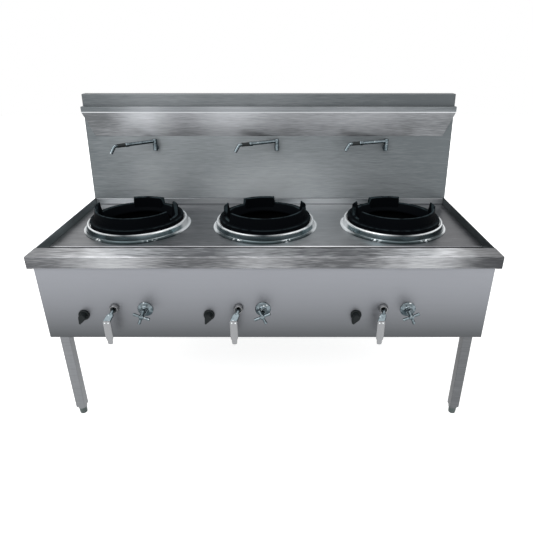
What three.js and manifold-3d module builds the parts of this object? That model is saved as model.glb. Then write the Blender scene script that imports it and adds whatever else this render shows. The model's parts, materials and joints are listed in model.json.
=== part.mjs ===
// A three-burner wok range: a stainless steel stand with a lowered deck, a splashback
// and, at each burner, a cast iron wok ring, a swing spout, a pilot knob, a knee lever
// and a water tap.
// Millimetres. X runs to the right, Y to the back, Z up, from the floor. Inside the
// source Y = 0 is the front face of the front rim; the whole range is moved at the end
// so that its origin is the middle of its footprint.
import * as THREE from "three";
import { ConvexGeometry } from "three/addons/geometries/ConvexGeometry.js";
import { mergeVertices } from "three/addons/utils/BufferGeometryUtils.js";
import Module from "manifold-3d";

const wasm = await Module();
wasm.setup();

// ---- Driving sizes: the cabinet ----
const width = 1800;
const depth = 850;
const workingHeight = 800;
const splashbackHeight = 500; // above the rims
const sheet = 2; // thickness of the folded sheets
const fit = 0.3; // gap between pieces that touch

const rimFace = 49; // height of the rims' outer faces
const frontRimTop = 90; // width of the flat top of the front rim
const frontRimDrop = 43; // how far its inner wall goes down
const sideRimTop = 5;
const sideRimSlope = 2.5; // how far the side rims' inner walls lean in
const deckDrop = 34; // the deck lies this far below the rims
const gutterGap = 95; // front rim to the deck's front edge
const deckEdgeRadius = 8;
const deckLip = 10; // height of the fold at the deck's front edge
const gutterDepth = 44; // below the deck
const gutterLap = 16; // the gutter's front wall, above the deck
const drainFromRight = 200;
const drainRadius = 18;
const drainLength = 292;
const rimOverhang = 21; // rims beyond the side panels
const frontPanelInset = 10;
const bodyHeight = 315; // of the panels under the rims
const panelReturn = 18; // folded edges at the bottom of the panels
const airHoleRadius = 110;

const splashbackFoot = 105; // depth of the splashback at the rims
const splashbackHead = 51; // depth at its top
const upstandSetback = 4; // deck's rear upstand in front of the splashback
const upstandFold = 20;

const coverFromTop = 53; // top of the splashback to the top of the duct cover
const coverLip = 26;
const coverSlope = 116;
const coverReach = 36; // lip in front of the splashback sheet
const coverHip = 44; // how far the lower corners are drawn in

const legSize = 40;
const legWall = 3;
const legInset = 40; // from the ends of the rims
const frontLegInset = 41;
const rearLegInset = 20;
const footHeight = 42;
const footBaseRadius = 13;
const footBase = 2; // chamfer round the base
const footRadius = 17; // where the tapered body meets its collar
const footCollarRadius = 19;
const footCollar = 10; // height of the collar under the leg
const footStemRadius = 8;
const footStem = 40; // inside the leg

// ---- Driving sizes: the burners ----
const outerBurnerFromEnd = 306; // outer bays' middles, from the ends of the rims
const burnerShift = -12; // burners from the middles of their bays
const outerBurnerInset = 12; // outer burners, in from their bays' middles
const chamberRadius = 200;
const skirtClearance = 24; // from the fire chamber out to the collar's skirt
const collarSkirt = chamberRadius + skirtClearance;
const collarBrim = 12; // the skirt's flare on the deck
const collarBase = collarSkirt + collarBrim; // outer radius on the deck
const collarFromDeckEdge = 20;
const burnerFromDeckEdge = collarBase + collarFromDeckEdge;
const collarHeight = 34;
const collarFlare = 9;
const beadRadius = 6;
const beadInset = 9.5; // from the skirt to the rolled bead's middle
const beadCentre = collarSkirt - beadInset;
const ledgeOverlap = 10; // ledge inside the chamber's wall
const ledgeInner = chamberRadius - ledgeOverlap; // collar ledge that the wok ring stands on
const holeClearance = 11; // from the skirt in to the hole in the deck
const deckHole = collarSkirt - holeClearance;
const ringClearance = 18; // from the skirt in to the ring
const ringOuter = collarSkirt - ringClearance;
const ringFlange = 18;
const ringBrim = 15; // flat edge outside the ring's wall
const ringWallFoot = ringOuter - ringBrim;
const ringWallLean = 6;
const ringWallBase = ringWallFoot - ringWallLean;
const ringWallThickness = 13;
const ringWallInner = ringWallBase - ringWallThickness;
const ringWallHeight = 22;
const ringSlope = 20; // level width of the slope inside the wall
const ringThroat = ringWallInner - ringSlope;
const ringSpigot = 16; // below the ledge
const spigotClearance = 4;
const spigotRadius = ledgeInner - spigotClearance;
const guardHeight = 62; // top of the front guard above the ledge
const guardLean = 6;
const guardThickness = 9;
const guardMiddle = 285; // degrees round the ring, from its right
const guardAngle = 140;
const lugHeight = 52;
const lugOverhang = 8; // lugs outside the throat
const lugInner = ringThroat + lugOverhang;
const lugMiddle = 102;
const lugAngle = 49;
const hornHeight = 78;
const hornInset = 4;
const hornPeak = ringWallInner - hornInset; // radius of the horns' highest point
const hornMiddles = [184, 6];
const hornAngle = 9;
const hornSlope = 15;
const chamberWall = 4;
const chamberFlange = 32;
const chamberStraight = 72; // straight wall under the deck
const chamberCone = 70;
const chamberFloor = 106;
const burnerNeck = 56;
const burnerFlange = 72;
const burnerCrown = 34;
const burnerBelow = 22;
const mixerRadius = 19;

// ---- Driving sizes: the controls ----
const knobBelow = 256; // under the rims' tops, like the heights below
const knobRadius = 22;
const knobBase = 8;
const knobGrip = 22; // the grip in front of the base
const knobTail = 34; // pointed end of the grip, from the knob's middle
const knobTurn = -25; // degrees, from straight down
const knobArc = 20; // degrees that the grip's round end goes past its sides
const knobShaft = 5;
const leverBelow = 225;
const bossRadius = 19;
const bossLength = 16;
const leverShaft = 6;
const leverReach = 60; // the handle in front of the panel
const leverShift = -16;
const leverDrop = 28;
const leverArmRadius = 8;
const leverArmEnd = 10; // radius where it meets the handle
const handleLength = 130; // from the lever's axis to the handle's bottom
const handleTopWidth = 30;
const handleBottomWidth = 20;
const handleThickness = 10;
const tapBelow = 230;
const escutcheonRadius = 31;
const escutcheonEdge = 3;
const bonnetRadius = 14;
const bonnetLength = 26;
const tapStem = 6;
const tapReach = 60; // the cross handle in front of the panel
const tapHub = 11;
const tapHubLength = 16;
const tapArm = 34;
const tapArmRadius = 6;
const shaftPlay = 1; // around turning shafts and around pipes in their holes

// ---- Driving sizes: gas and water pipes inside the cabinet ----
const gasPipeY = 55;
const gasPipeBelow = 290;
const gasPipeRadius = 17;
const gasValveRadius = 18;
const gasValveLength = 83;
const pilotValveRadius = 10;
const pilotValveLength = 48;
const inletFromEnd = 110; // pipe inlets, from the ends of the rims
const waterPipeY = 45;
const waterPipeBelow = 170;
const waterPipeRadius = 11;
const waterValveRadius = 14;
const waterValveLength = 58;
const riserRadius = 9;
const riserDropY = 95;
const riserBelow = 320;
const riserBendY = 700;
const riserWallGap = 29; // riser's middle in front of the rear panel

// ---- Driving sizes: the swing spouts ----
const spoutPillarRadius = 11;
const spoutOffWall = 22; // pillar's axis in front of the splashback, at its inlet
const spoutFeedAbove = 253; // inlet above the rims' tops
const pillarFoot = 11; // below the inlet
const swivelAbove = 21; // the swivel above the inlet
const spoutArmAbove = 34;
const pillarTop = 45;
const roseRadius = 12; // flange on the splashback
const spoutArmRadius = 8.5;
const spoutArmLength = 134;
const spoutTurns = { left: 40, middle: 30, right: 22 }; // degrees forward of the wall, at rest
const nutRadius = 11;
const nutLength = 16;
const sleeveRadius = 9;
const sleeveLength = 40;
const sleeveTube = 4.5;
const tipRadius = 8;
const tipReach = 34;
const tipDrop = 31;

// Across one burner's bay, from the bay's middle: its knob, lever, tap and spout.
// hand mirrors the wok ring: its guard is open to the left (1) or to the right (-1).
// ringTurn is how far the ring is turned on its collar, in degrees.
const bays = [
  { side: "left", bay: -1, hand: -1, ringTurn: 8, knob: -128, lever: -2, tap: 119, spout: 34 },
  { side: "middle", bay: 0, hand: 1, ringTurn: 0, knob: -224, lever: -105, tap: -9, spout: 38 },
  { side: "right", bay: 1, hand: 1, ringTurn: -8, knob: -233, lever: -127, tap: -29, spout: -19 },
];
const tapTurns = { left: -22, middle: 25, right: 25 }; // degrees, at rest

// ---- Places that follow from them ----
const halfWidth = width / 2;
const topZ = workingHeight + splashbackHeight;
const rimBottomZ = workingHeight - rimFace;
const deckZ = workingHeight - deckDrop;
const panelTopZ = rimBottomZ - fit;
const bodyBottomZ = rimBottomZ - bodyHeight;
const bodyHalf = halfWidth - rimOverhang;
const panelBackY = frontPanelInset + sheet;
const rearFaceY = depth - sheet; // inner face of the rear panel
const deckFrontY = frontRimTop + gutterGap;
const splashbackY = depth - splashbackFoot;
const upstandY = splashbackY - upstandSetback;
const splashbackLean = (splashbackFoot - splashbackHead) / splashbackHeight;
const sheetY = (z) => splashbackY + (z - workingHeight) * splashbackLean;
const rimFootX = halfWidth - sideRimTop - sideRimSlope;
const deckHalf = rimFootX - fit;
const panZ = bodyBottomZ + sheet + fit;
const gutterFloorZ = deckZ - gutterDepth;
const gutterFrontY = frontRimTop - sheet - fit - sheet;
const gutterBackY = deckFrontY + sheet + fit + sheet;
const drainX = halfWidth - drainFromRight;
const drainY = (frontRimTop + deckFrontY) / 2;
const legX = halfWidth - legInset - legSize / 2;
const frontLegY = frontLegInset + legSize / 2;
const rearLegY = depth - rearLegInset - legSize / 2;
const bayPitch = halfWidth - outerBurnerFromEnd;
const burnerX = (bay) => bay * (bayPitch - outerBurnerInset) + burnerShift;
const burnerY = deckFrontY + burnerFromDeckEdge;
const collarTopZ = deckZ + fit + collarHeight;
const ledgeZ = collarTopZ - beadRadius;
const ringZ = ledgeZ + fit;
const chamberTopZ = ledgeZ - sheet - fit;
const chamberConeZ = deckZ - chamberStraight;
const chamberFloorZ = chamberConeZ - chamberCone;
const valveY = panelBackY + fit;
const knobZ = workingHeight - knobBelow;
const leverZ = workingHeight - leverBelow;
const tapZ = workingHeight - tapBelow;
const gasPipeZ = workingHeight - gasPipeBelow;
const waterPipeZ = workingHeight - waterPipeBelow;
const riserLowZ = workingHeight - riserBelow;
const gasInletX = halfWidth - inletFromEnd;
const waterInletX = inletFromEnd - halfWidth;
const riserY = rearFaceY - riserWallGap;
const spoutFeedZ = workingHeight + spoutFeedAbove;
const spoutPillarY = sheetY(spoutFeedZ) - spoutOffWall;
const pillarFootZ = spoutFeedZ - pillarFoot;
const swivelZ = spoutFeedZ + swivelAbove;
const spoutArmZ = spoutFeedZ + spoutArmAbove;
const pillarTopZ = spoutFeedZ + pillarTop;

// ---- Steel, iron and the rest ----
const finish = (color, roughness, metalness) =>
  new THREE.MeshStandardMaterial({ color, roughness, metalness, flatShading: true });
const brushedSteel = finish(0x8a8d90, 0.4, 1);
const darkSteel = finish(0x5b6164, 0.45, 1);
const chrome = finish(0xc9ced2, 0.12, 1);
const castIron = finish(0x0c0f12, 0.8, 0.3);
const brass = finish(0xb08d57, 0.35, 1);
const blackPlastic = finish(0x2a3030, 0.5, 0);
const satinSteel = finish(0xa0a1a3, 0.35, 1);

// ---- Making closed solids ----
const degrees = THREE.MathUtils.degToRad;
const ringSides = 24; // of the big rings, of small turned pieces and of pipes
const turnedSides = 14;
const pipeSides = 8;

function box(x0, x1, y0, y1, z0, z1) {
  const middle = [(x0 + x1) / 2, (y0 + y1) / 2, (z0 + z1) / 2];
  return new THREE.BoxGeometry(x1 - x0, y1 - y0, z1 - z0).translate(...middle);
}

// A round rod between two points; endRadius makes it a cone.
function rod(from, to, radius, sides = pipeSides, endRadius = radius) {
  const start = new THREE.Vector3(...from);
  const run = new THREE.Vector3(...to).sub(start);
  const turn = new THREE.Quaternion().setFromUnitVectors(
    new THREE.Vector3(0, 1, 0),
    run.clone().normalize(),
  );
  return new THREE.CylinderGeometry(endRadius, radius, run.length(), sides)
    .applyQuaternion(turn)
    .translate(...start.addScaledVector(run, 0.5).toArray());
}

// An outline in two of the axes, extruded along the third.
function extruded(outline, length) {
  const shape = new THREE.Shape(outline.map(([a, b]) => new THREE.Vector2(a, b)));
  return new THREE.ExtrudeGeometry(shape, { depth: length, bevelEnabled: false });
}
const alongX = (outline, x0, x1) =>
  extruded(outline, x1 - x0)
    .applyMatrix4(new THREE.Matrix4().set(0, 0, 1, 0, 1, 0, 0, 0, 0, 1, 0, 0, 0, 0, 0, 1))
    .translate(x0, 0, 0);
const alongY = (outline, y0, y1) =>
  extruded(outline, y1 - y0)
    .rotateX(Math.PI / 2)
    .translate(0, y1, 0);
const alongZ = (outline, z0, z1) => extruded(outline, z1 - z0).translate(0, 0, z0);

// A profile of [radius, height] points turned round Z: a closed ring, or a solid when
// the profile starts and ends on the axis.
function turned(profile, sides = ringSides) {
  const points = profile.map(([r, z]) => new THREE.Vector2(r, z));
  if (THREE.ShapeUtils.area(points) < 0) points.reverse();
  if (points[0].x > 0) points.push(points[0].clone());
  return new THREE.LatheGeometry(points, sides).rotateX(Math.PI / 2);
}
// The same, round Y: the profile is [radius, y].
const turnedRoundY = (profile) => turned(profile, turnedSides).rotateX(-Math.PI / 2);

// Points of a round stretch, by angles in degrees.
function arc(x, y, radius, from, to, steps = 3) {
  return Array.from({ length: steps + 1 }, (_, i) => {
    const angle = degrees(from + ((to - from) * i) / steps);
    return [x + radius * Math.cos(angle), y + radius * Math.sin(angle)];
  });
}

// The outline of a sheet folded along a line, with its thickness on the line's right.
function folded(line, thickness = sheet) {
  const points = line.map(([x, y]) => new THREE.Vector2(x, y));
  const rights = points.slice(1).map((p, i) => {
    const run = p.clone().sub(points[i]).normalize();
    return new THREE.Vector2(run.y, -run.x);
  });
  const back = points.map((p, i) => {
    const before = rights[Math.max(i - 1, 0)];
    const after = rights[Math.min(i, rights.length - 1)];
    const mitre = before.clone().add(after);
    const reach = thickness / (1 + before.dot(after));
    return [p.x + mitre.x * reach, p.y + mitre.y * reach];
  });
  return [...line, ...back.reverse()];
}

function solid(geometry) {
  const bare = geometry.clone();
  bare.deleteAttribute("normal");
  bare.deleteAttribute("uv");
  const merged = mergeVertices(bare, 1e-4);
  return new wasm.Manifold(
    new wasm.Mesh({
      numProp: 3,
      vertProperties: merged.attributes.position.array,
      triVerts: new Uint32Array(merged.index.array),
    }),
  );
}

function geometryOf(made) {
  const mesh = made.getMesh();
  const geometry = new THREE.BufferGeometry()
    .setAttribute("position", new THREE.BufferAttribute(mesh.vertProperties, 3))
    .setIndex(new THREE.BufferAttribute(mesh.triVerts, 1));
  geometry.computeVertexNormals();
  return geometry;
}

const join = (...parts) => geometryOf(parts.map(solid).reduce((a, b) => a.add(b)));
const cut = (whole, ...tools) =>
  geometryOf(tools.map(solid).reduce((a, b) => a.subtract(b), solid(whole)));
const common = (a, b) => geometryOf(solid(a).intersect(solid(b)));

// A pipe through a list of points, with round elbows.
function pipe(points, radius, sides = pipeSides) {
  const runs = points.slice(1).map((p, i) => rod(points[i], p, radius, sides));
  const elbows = points
    .slice(1, -1)
    .map((p) => new THREE.SphereGeometry(radius, sides, sides / 2).translate(...p));
  return join(...runs, ...elbows);
}

// ---- The scene graph ----
const range = new THREE.Group();

function piece(name, geometry, material, parent = range) {
  const mesh = new THREE.Mesh(geometry, material);
  mesh.name = name;
  parent.add(mesh);
  return mesh;
}

function groupAt(x, y, z) {
  const group = new THREE.Group();
  group.position.set(x, y, z);
  range.add(group);
  return group;
}

// ---- The top: rims, deck, gutter and drain ----
function frontRim() {
  const line = [
    [panelBackY + sheet, rimBottomZ],
    [0, rimBottomZ],
    [0, workingHeight],
    [frontRimTop, workingHeight],
    [frontRimTop, workingHeight - frontRimDrop],
  ];
  const closings = [-halfWidth, halfWidth - sheet].map((x) =>
    box(x, x + sheet, 0, frontRimTop, rimBottomZ, workingHeight),
  );
  const undersides = [-halfWidth, bodyHalf - sheet].map((x) =>
    box(x, x + rimOverhang + sheet, 0, frontRimTop, rimBottomZ, rimBottomZ + sheet),
  );
  return join(alongX(folded(line), -halfWidth, halfWidth), ...closings, ...undersides);
}

function deck() {
  const edge = arc(deckFrontY + deckEdgeRadius, deckZ - deckEdgeRadius, deckEdgeRadius, 180, 90);
  const line = [
    [deckFrontY, deckZ - deckLip],
    ...edge,
    [upstandY, deckZ],
    [upstandY, workingHeight],
    [upstandY + upstandFold, workingHeight],
  ];
  const holes = bays.map(({ bay }) => {
    const x = burnerX(bay);
    return rod([x, burnerY, deckZ - deckLip], [x, burnerY, workingHeight], deckHole, ringSides);
  });
  return cut(alongX(folded(line), -deckHalf, deckHalf), ...holes);
}

function gutterTrough() {
  const half = bodyHalf - sheet - fit;
  const line = [
    [gutterBackY, deckZ - deckEdgeRadius],
    [gutterBackY, gutterFloorZ],
    [gutterFrontY, gutterFloorZ],
    [gutterFrontY, deckZ + gutterLap],
  ];
  const end = (x0, x1) =>
    box(x0, x1, gutterFrontY, gutterBackY, gutterFloorZ, deckZ - deckLip - fit);
  const trough = join(
    alongX(folded(line), -half, half),
    end(-half, sheet - half),
    end(half - sheet, half),
  );
  const hole = rod([drainX, drainY, 0], [drainX, drainY, deckZ], drainRadius + shaftPlay, turnedSides);
  return cut(trough, hole);
}

function drainOutlet() {
  const seatZ = gutterFloorZ + sheet + fit;
  const bore = drainRadius - 2 * sheet;
  const profile = [
    [bore, seatZ - drainLength],
    [drainRadius, seatZ - drainLength],
    [drainRadius, seatZ],
    [drainRadius + 3 * sheet, seatZ],
    [drainRadius + 3 * sheet, seatZ + sheet],
    [bore, seatZ + sheet],
  ];
  return turned(profile, turnedSides);
}

// ---- The cabinet: panels, pan, legs and feet ----
function frontPanel() {
  const line = [
    [frontPanelInset + panelReturn, bodyBottomZ],
    [frontPanelInset, bodyBottomZ],
    [frontPanelInset, panelTopZ],
  ];
  const through = (x, z, radius) => rod([x, 0, z], [x, valveY, z], radius + shaftPlay);
  const holes = bays.flatMap(({ bay, knob, lever, tap }) => {
    const middle = bay * bayPitch;
    return [
      through(middle + knob, knobZ, knobShaft),
      through(middle + lever, leverZ, leverShaft),
      through(middle + tap, tapZ, tapStem),
    ];
  });
  return cut(alongX(folded(line), -bodyHalf, bodyHalf), ...holes);
}

// The side rim and the panel under it, one folded sheet. The rim stands between the front
// rim and the splashback.
function sidePanel(side) {
  const rim = [
    [rimFootX, deckZ - 2 * sheet],
    [rimFootX, deckZ],
    [halfWidth - sideRimTop, workingHeight],
    [halfWidth, workingHeight],
    [halfWidth, rimBottomZ],
    [bodyHalf, rimBottomZ],
    [bodyHalf, panelTopZ - sheet],
  ];
  const panel = [
    [bodyHalf, panelTopZ],
    [bodyHalf, bodyBottomZ],
    [bodyHalf - panelReturn + sheet, bodyBottomZ],
  ];
  const along = (line, y0, y1) =>
    alongY(
      folded(line).map(([x, z]) => [side * x, z]),
      y0,
      y1,
    );
  const flangeStart = box(
    side * bodyHalf - 2 * panelReturn,
    side * bodyHalf + 2 * panelReturn,
    0,
    frontPanelInset + panelReturn + fit,
    0,
    bodyBottomZ + sheet + fit,
  );
  return join(
    along(rim, frontRimTop + fit, splashbackY),
    cut(along(panel, valveY, rearFaceY - fit), flangeStart),
  );
}

function rearPanel() {
  const outline = [
    [-bodyHalf, bodyBottomZ],
    [bodyHalf, bodyBottomZ],
    [bodyHalf, rimBottomZ],
    [halfWidth, rimBottomZ],
    [halfWidth, topZ],
    [-halfWidth, topZ],
    [-halfWidth, rimBottomZ],
    [-bodyHalf, rimBottomZ],
  ];
  const through = (x, z, radius) =>
    rod([x, splashbackY, z], [x, depth + sheet, z], radius + shaftPlay);
  return cut(
    alongY(outline, rearFaceY, depth),
    through(gasInletX, gasPipeZ, gasPipeRadius),
    through(waterInletX, waterPipeZ, waterPipeRadius),
  );
}

// The holes in the pan for the four legs, by their middles.
const legPlaces = [
  { name: "front_left", x: -legX, y: frontLegY },
  { name: "front_right", x: legX, y: frontLegY },
  { name: "rear_left", x: -legX, y: rearLegY },
  { name: "rear_right", x: legX, y: rearLegY },
];

function basePan() {
  const half = bodyHalf - sheet - fit;
  const notches = legPlaces.map(({ x, y }) => {
    const reach = legSize / 2 + fit;
    return box(x - reach, x + reach, y - reach, y + reach, 0, deckZ);
  });
  const vents = bays.map(({ bay }) => {
    const x = burnerX(bay);
    return rod([x, burnerY, 0], [x, burnerY, deckZ], airHoleRadius, ringSides);
  });
  const drain = rod([drainX, drainY, 0], [drainX, drainY, deckZ], drainRadius + shaftPlay, turnedSides);
  return cut(
    box(-half, half, valveY, rearFaceY - fit, panZ, panZ + sheet),
    ...notches,
    ...vents,
    drain,
  );
}

// A square tube with closed ends; the foot's stem goes in through the lower one.
function leg(height) {
  const half = legSize / 2;
  const inner = half - legWall;
  return cut(
    box(-half, half, -half, half, 0, height),
    box(-inner, inner, -inner, inner, legWall, height - legWall),
    rod([0, 0, -sheet], [0, 0, 2 * legWall], footStemRadius + shaftPlay, turnedSides),
  );
}

function foot() {
  const top = footHeight - fit;
  const profile = [
    [0, 0],
    [footBaseRadius, 0],
    [footBaseRadius + footBase, footBase],
    [footRadius, top - footCollar],
    [footCollarRadius, top - footCollar],
    [footCollarRadius, top],
    [footStemRadius, top],
    [footStemRadius, top + footStem],
    [0, top + footStem],
  ];
  return turned(profile, turnedSides);
}

// ---- The splashback ----
function splashbackSheet() {
  const half = halfWidth - sheet - fit;
  const line = [
    [splashbackY, workingHeight + fit],
    [sheetY(topZ), topZ],
    [rearFaceY - fit, topZ],
  ];
  const holes = bays.map(({ bay, spout }) => {
    const x = bay * bayPitch + spout;
    return rod(
      [x, spoutPillarY, spoutFeedZ],
      [x, riserY, spoutFeedZ],
      riserRadius + shaftPlay,
    );
  });
  return cut(alongX(folded(line), -half, half), ...holes);
}

function splashbackCap(side) {
  const outline = [
    [splashbackY + fit, rimBottomZ],
    [rearFaceY - fit, rimBottomZ],
    [rearFaceY - fit, topZ],
    [sheetY(topZ), topZ],
    [splashbackY + fit, workingHeight],
  ];
  const plate = (x) => alongX(outline, x - sheet / 2, x + sheet / 2);
  const x = side * (halfWidth - sheet / 2);
  const inner = side * (bodyHalf - sheet);
  const outer = side * (halfWidth - sheet / 2);
  const underside = box(
    Math.min(inner, outer),
    Math.max(inner, outer),
    splashbackY + fit,
    rearFaceY - fit,
    rimBottomZ,
    rimBottomZ + sheet,
  );
  return join(plate(x), underside);
}

// The hull of the cover: an upright lip over a slope whose lower corners are drawn in.
function coverHull(half, hip, lipY, lipTop, lipBottom, footZ, behind) {
  const back = (z) => sheetY(z) + behind;
  const corners = [-1, 1].flatMap((side) => [
    [side * half, lipY, lipTop],
    [side * half, lipY, lipBottom],
    [side * half, back(lipTop), lipTop],
    [side * half, back(lipBottom), lipBottom],
    [side * (half - hip), back(footZ), footZ],
  ]);
  return new ConvexGeometry(corners.map((corner) => new THREE.Vector3(...corner)));
}

function ductCover() {
  const lipTop = topZ - coverFromTop;
  const lipBottom = lipTop - coverLip;
  const footZ = lipBottom - coverSlope;
  const lipY = sheetY(lipTop) - coverReach;
  const outside = coverHull(halfWidth, coverHip, lipY, lipTop, lipBottom, footZ, -fit);
  const inside = coverHull(
    halfWidth - sheet,
    coverHip,
    lipY + sheet,
    lipTop - sheet,
    lipBottom,
    footZ + 4 * sheet,
    coverReach,
  );
  return cut(outside, inside);
}

// ---- One burner: collar, fire chamber, burner and wok ring ----
function collar() {
  const flareZ = deckZ + fit + sheet;
  const line = [
    [ledgeInner, ledgeZ],
    ...arc(beadCentre, ledgeZ, beadRadius, 180, 0),
    ...arc(collarSkirt + collarFlare, flareZ + collarFlare, collarFlare, 180, 270, 2),
    [collarBase, flareZ],
  ];
  return turned(folded(line));
}

function fireChamber() {
  const flangeTop = deckZ - sheet - fit;
  const wall = chamberRadius - chamberWall;
  const profile = [
    [wall, chamberTopZ],
    [wall, chamberConeZ + sheet],
    [chamberFloor - sheet, chamberFloorZ + chamberWall],
    [burnerNeck + 2 * shaftPlay, chamberFloorZ + chamberWall],
    [burnerNeck + 2 * shaftPlay, chamberFloorZ],
    [chamberFloor, chamberFloorZ],
    [chamberRadius, chamberConeZ],
    [chamberRadius, flangeTop - chamberWall],
    [chamberRadius + chamberFlange, flangeTop - chamberWall],
    [chamberRadius + chamberFlange, flangeTop],
    [chamberRadius, flangeTop],
    [chamberRadius, chamberTopZ],
  ];
  return turned(profile, ringSides);
}

// The burner head stands on the chamber's floor; its mixing tube runs to the gas valve.
function burner(leverX) {
  const seat = chamberFloorZ + chamberWall + fit;
  const foot = chamberFloorZ - burnerBelow;
  const crown = seat + burnerCrown;
  const head = turned(
    [
      [0, foot],
      [burnerNeck, foot],
      [burnerNeck, seat],
      [burnerFlange, seat],
      [burnerFlange, seat + chamberWall],
      [burnerNeck, seat + 2 * chamberWall],
      [burnerNeck, crown - chamberWall],
      [burnerNeck - chamberWall, crown],
      [burnerNeck - mixerRadius / 2, crown],
      [mixerRadius, crown - burnerCrown / 2],
      [0, crown - burnerCrown / 2],
    ],
    turnedSides,
  );
  const valveBack = valveY + gasValveLength + fit - burnerY;
  const mixer = pipe(
    [
      [0, 0, foot + sheet],
      [0, 0, leverZ],
      [leverX, valveBack + 2 * mixerRadius, leverZ],
      [leverX, valveBack, leverZ],
    ],
    mixerRadius,
  );
  return join(head, mixer);
}

// The part of a ring that lies within a sector, by angles in degrees from +X.
function sector(profile, from, to) {
  const steps = Math.max(2, Math.ceil((to - from) / 9));
  const wedge = [[0, 0], ...arc(0, 0, ringOuter * 2, from, to, steps)];
  return common(turned(profile), alongZ(wedge, 0, topZ));
}

function wokRing(hand, ringTurn) {
  const flangeTop = ringZ + ringFlange;
  const wallTop = ringZ + ringWallHeight;
  const chamfer = sheet;
  const base = turned([
    [ringOuter, ringZ],
    [ringOuter, flangeTop - chamfer],
    [ringOuter - chamfer, flangeTop],
    [ringWallFoot, flangeTop],
    [ringWallBase, wallTop],
    [ringWallInner, wallTop],
    [ringThroat, ringZ - ringSpigot / 2],
    [ringThroat, ringZ - ringSpigot],
    [ringThroat + guardThickness, ringZ - ringSpigot],
    [spigotRadius, ringZ - sheet],
    [spigotRadius, ringZ],
  ]);
  const guardTop = ringZ + guardHeight;
  const guardProfile = [
    [ringWallBase, flangeTop],
    [ringWallBase - guardLean, guardTop - chamfer],
    [ringWallBase - guardLean - chamfer, guardTop],
    [ringWallBase - guardLean - guardThickness, guardTop],
    [ringWallInner, flangeTop],
  ];
  const lugTop = ringZ + lugHeight;
  const lugProfile = [
    [ringWallBase, flangeTop],
    [ringWallBase, lugTop],
    [lugInner, lugTop],
    [lugInner, flangeTop - ringSpigot],
  ];
  const hornTop = ringZ + hornHeight;
  const hornProfile = [
    [ringWallBase, flangeTop],
    [ringWallBase, hornTop - hornSlope],
    [hornPeak, hornTop],
    [hornPeak - 2 * chamfer, hornTop],
    [ringThroat, flangeTop],
    [ringThroat, ringZ - ringSpigot / 2],
  ];
  const swept = (profile, middle, half) => {
    const turn = (hand > 0 ? middle : 180 - middle) + ringTurn;
    return sector(profile, turn - half, turn + half);
  };
  return join(
    base,
    swept(guardProfile, guardMiddle, guardAngle / 2),
    swept(lugProfile, lugMiddle, lugAngle / 2),
    ...hornMiddles.map((middle) => swept(hornProfile, middle, hornAngle / 2)),
  );
}

// ---- One set of controls on the front panel ----
const seatY = frontPanelInset - fit; // where pieces sit on the panel's face

function knob() {
  const baseY = seatY - knobBase;
  const grip = [
    ...arc(0, 0, knobRadius * 0.7, -knobArc, 180 + knobArc, 8),
    [-2 * sheet, -knobTail],
    [2 * sheet, -knobTail],
  ];
  return join(
    rod([0, seatY - knobBase, 0], [0, seatY, 0], knobRadius, turnedSides),
    rod([0, seatY - sheet, 0], [0, panelBackY, 0], knobShaft),
    alongY(grip, baseY - knobGrip, baseY + sheet).rotateY(degrees(-knobTurn)),
  );
}

function leverBoss() {
  const bore = leverShaft + shaftPlay;
  return turnedRoundY(
    [
      [bore, seatY],
      [bossRadius, seatY],
      [bossRadius, seatY - bossLength / 2],
      [bossRadius - 2 * sheet, seatY - bossLength],
      [bore, seatY - bossLength],
    ],
  );
}

// The paddle handle hangs from an elbow that the arm carries down and to the left.
function kneeLever() {
  const handleY = frontPanelInset - leverReach;
  const elbow = seatY - bossLength - fit - leverArmRadius;
  const half = handleTopWidth / 2;
  const tip = handleBottomWidth / 2;
  const paddle = [
    ...arc(leverShift, -leverDrop, half, 0, 180, 6),
    ...arc(leverShift, tip - handleLength, tip, 180, 360, 6),
  ];
  return join(
    rod([0, elbow, 0], [0, panelBackY, 0], leverShaft),
    new THREE.SphereGeometry(leverArmRadius, pipeSides, pipeSides / 2).translate(0, elbow, 0),
    rod([0, elbow, 0], [leverShift, handleY, -leverDrop], leverArmRadius, pipeSides, leverArmEnd),
    alongY(paddle, handleY - handleThickness / 2, handleY + handleThickness / 2),
  );
}

function escutcheon() {
  const bore = tapStem + shaftPlay;
  return turnedRoundY(
    [
      [bore, seatY],
      [escutcheonRadius, seatY],
      [escutcheonRadius, seatY - escutcheonEdge],
      [bonnetRadius + escutcheonEdge, seatY - 3 * escutcheonEdge],
      [bonnetRadius, seatY - 4 * escutcheonEdge],
      [bonnetRadius - sheet, seatY - bonnetLength],
      [bore, seatY - bonnetLength],
    ],
  );
}

function tapHandle(turn) {
  const middle = frontPanelInset - tapReach;
  const half = tapHubLength / 2;
  const arms = [0, 90].map((angle) => {
    const x = tapArm * Math.cos(degrees(angle + turn));
    const z = tapArm * Math.sin(degrees(angle + turn));
    return rod([-x, middle, -z], [x, middle, z], tapArmRadius);
  });
  return join(
    rod([0, middle - half, 0], [0, middle + half, 0], tapHub, turnedSides),
    rod([0, middle, 0], [0, panelBackY, 0], tapStem),
    ...arms,
  );
}

// ---- Gas and water pipes ----
function gasManifold() {
  const start = bays[0].bay * bayPitch + bays[0].knob - 2 * gasPipeRadius;
  const main = pipe(
    [
      [start, gasPipeY, gasPipeZ],
      [gasInletX, gasPipeY, gasPipeZ],
      [gasInletX, depth, gasPipeZ],
    ],
    gasPipeRadius,
  );
  const valve = (x, z, radius, length) => [
    rod([x, valveY, z], [x, valveY + length, z], radius),
    rod([x, gasPipeY, gasPipeZ], [x, gasPipeY, z], radius * 0.7),
  ];
  const valves = bays.flatMap(({ bay, knob, lever }) => [
    ...valve(bay * bayPitch + lever, leverZ, gasValveRadius, gasValveLength),
    ...valve(bay * bayPitch + knob, knobZ, pilotValveRadius, pilotValveLength),
  ]);
  return join(main, ...valves);
}

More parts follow.
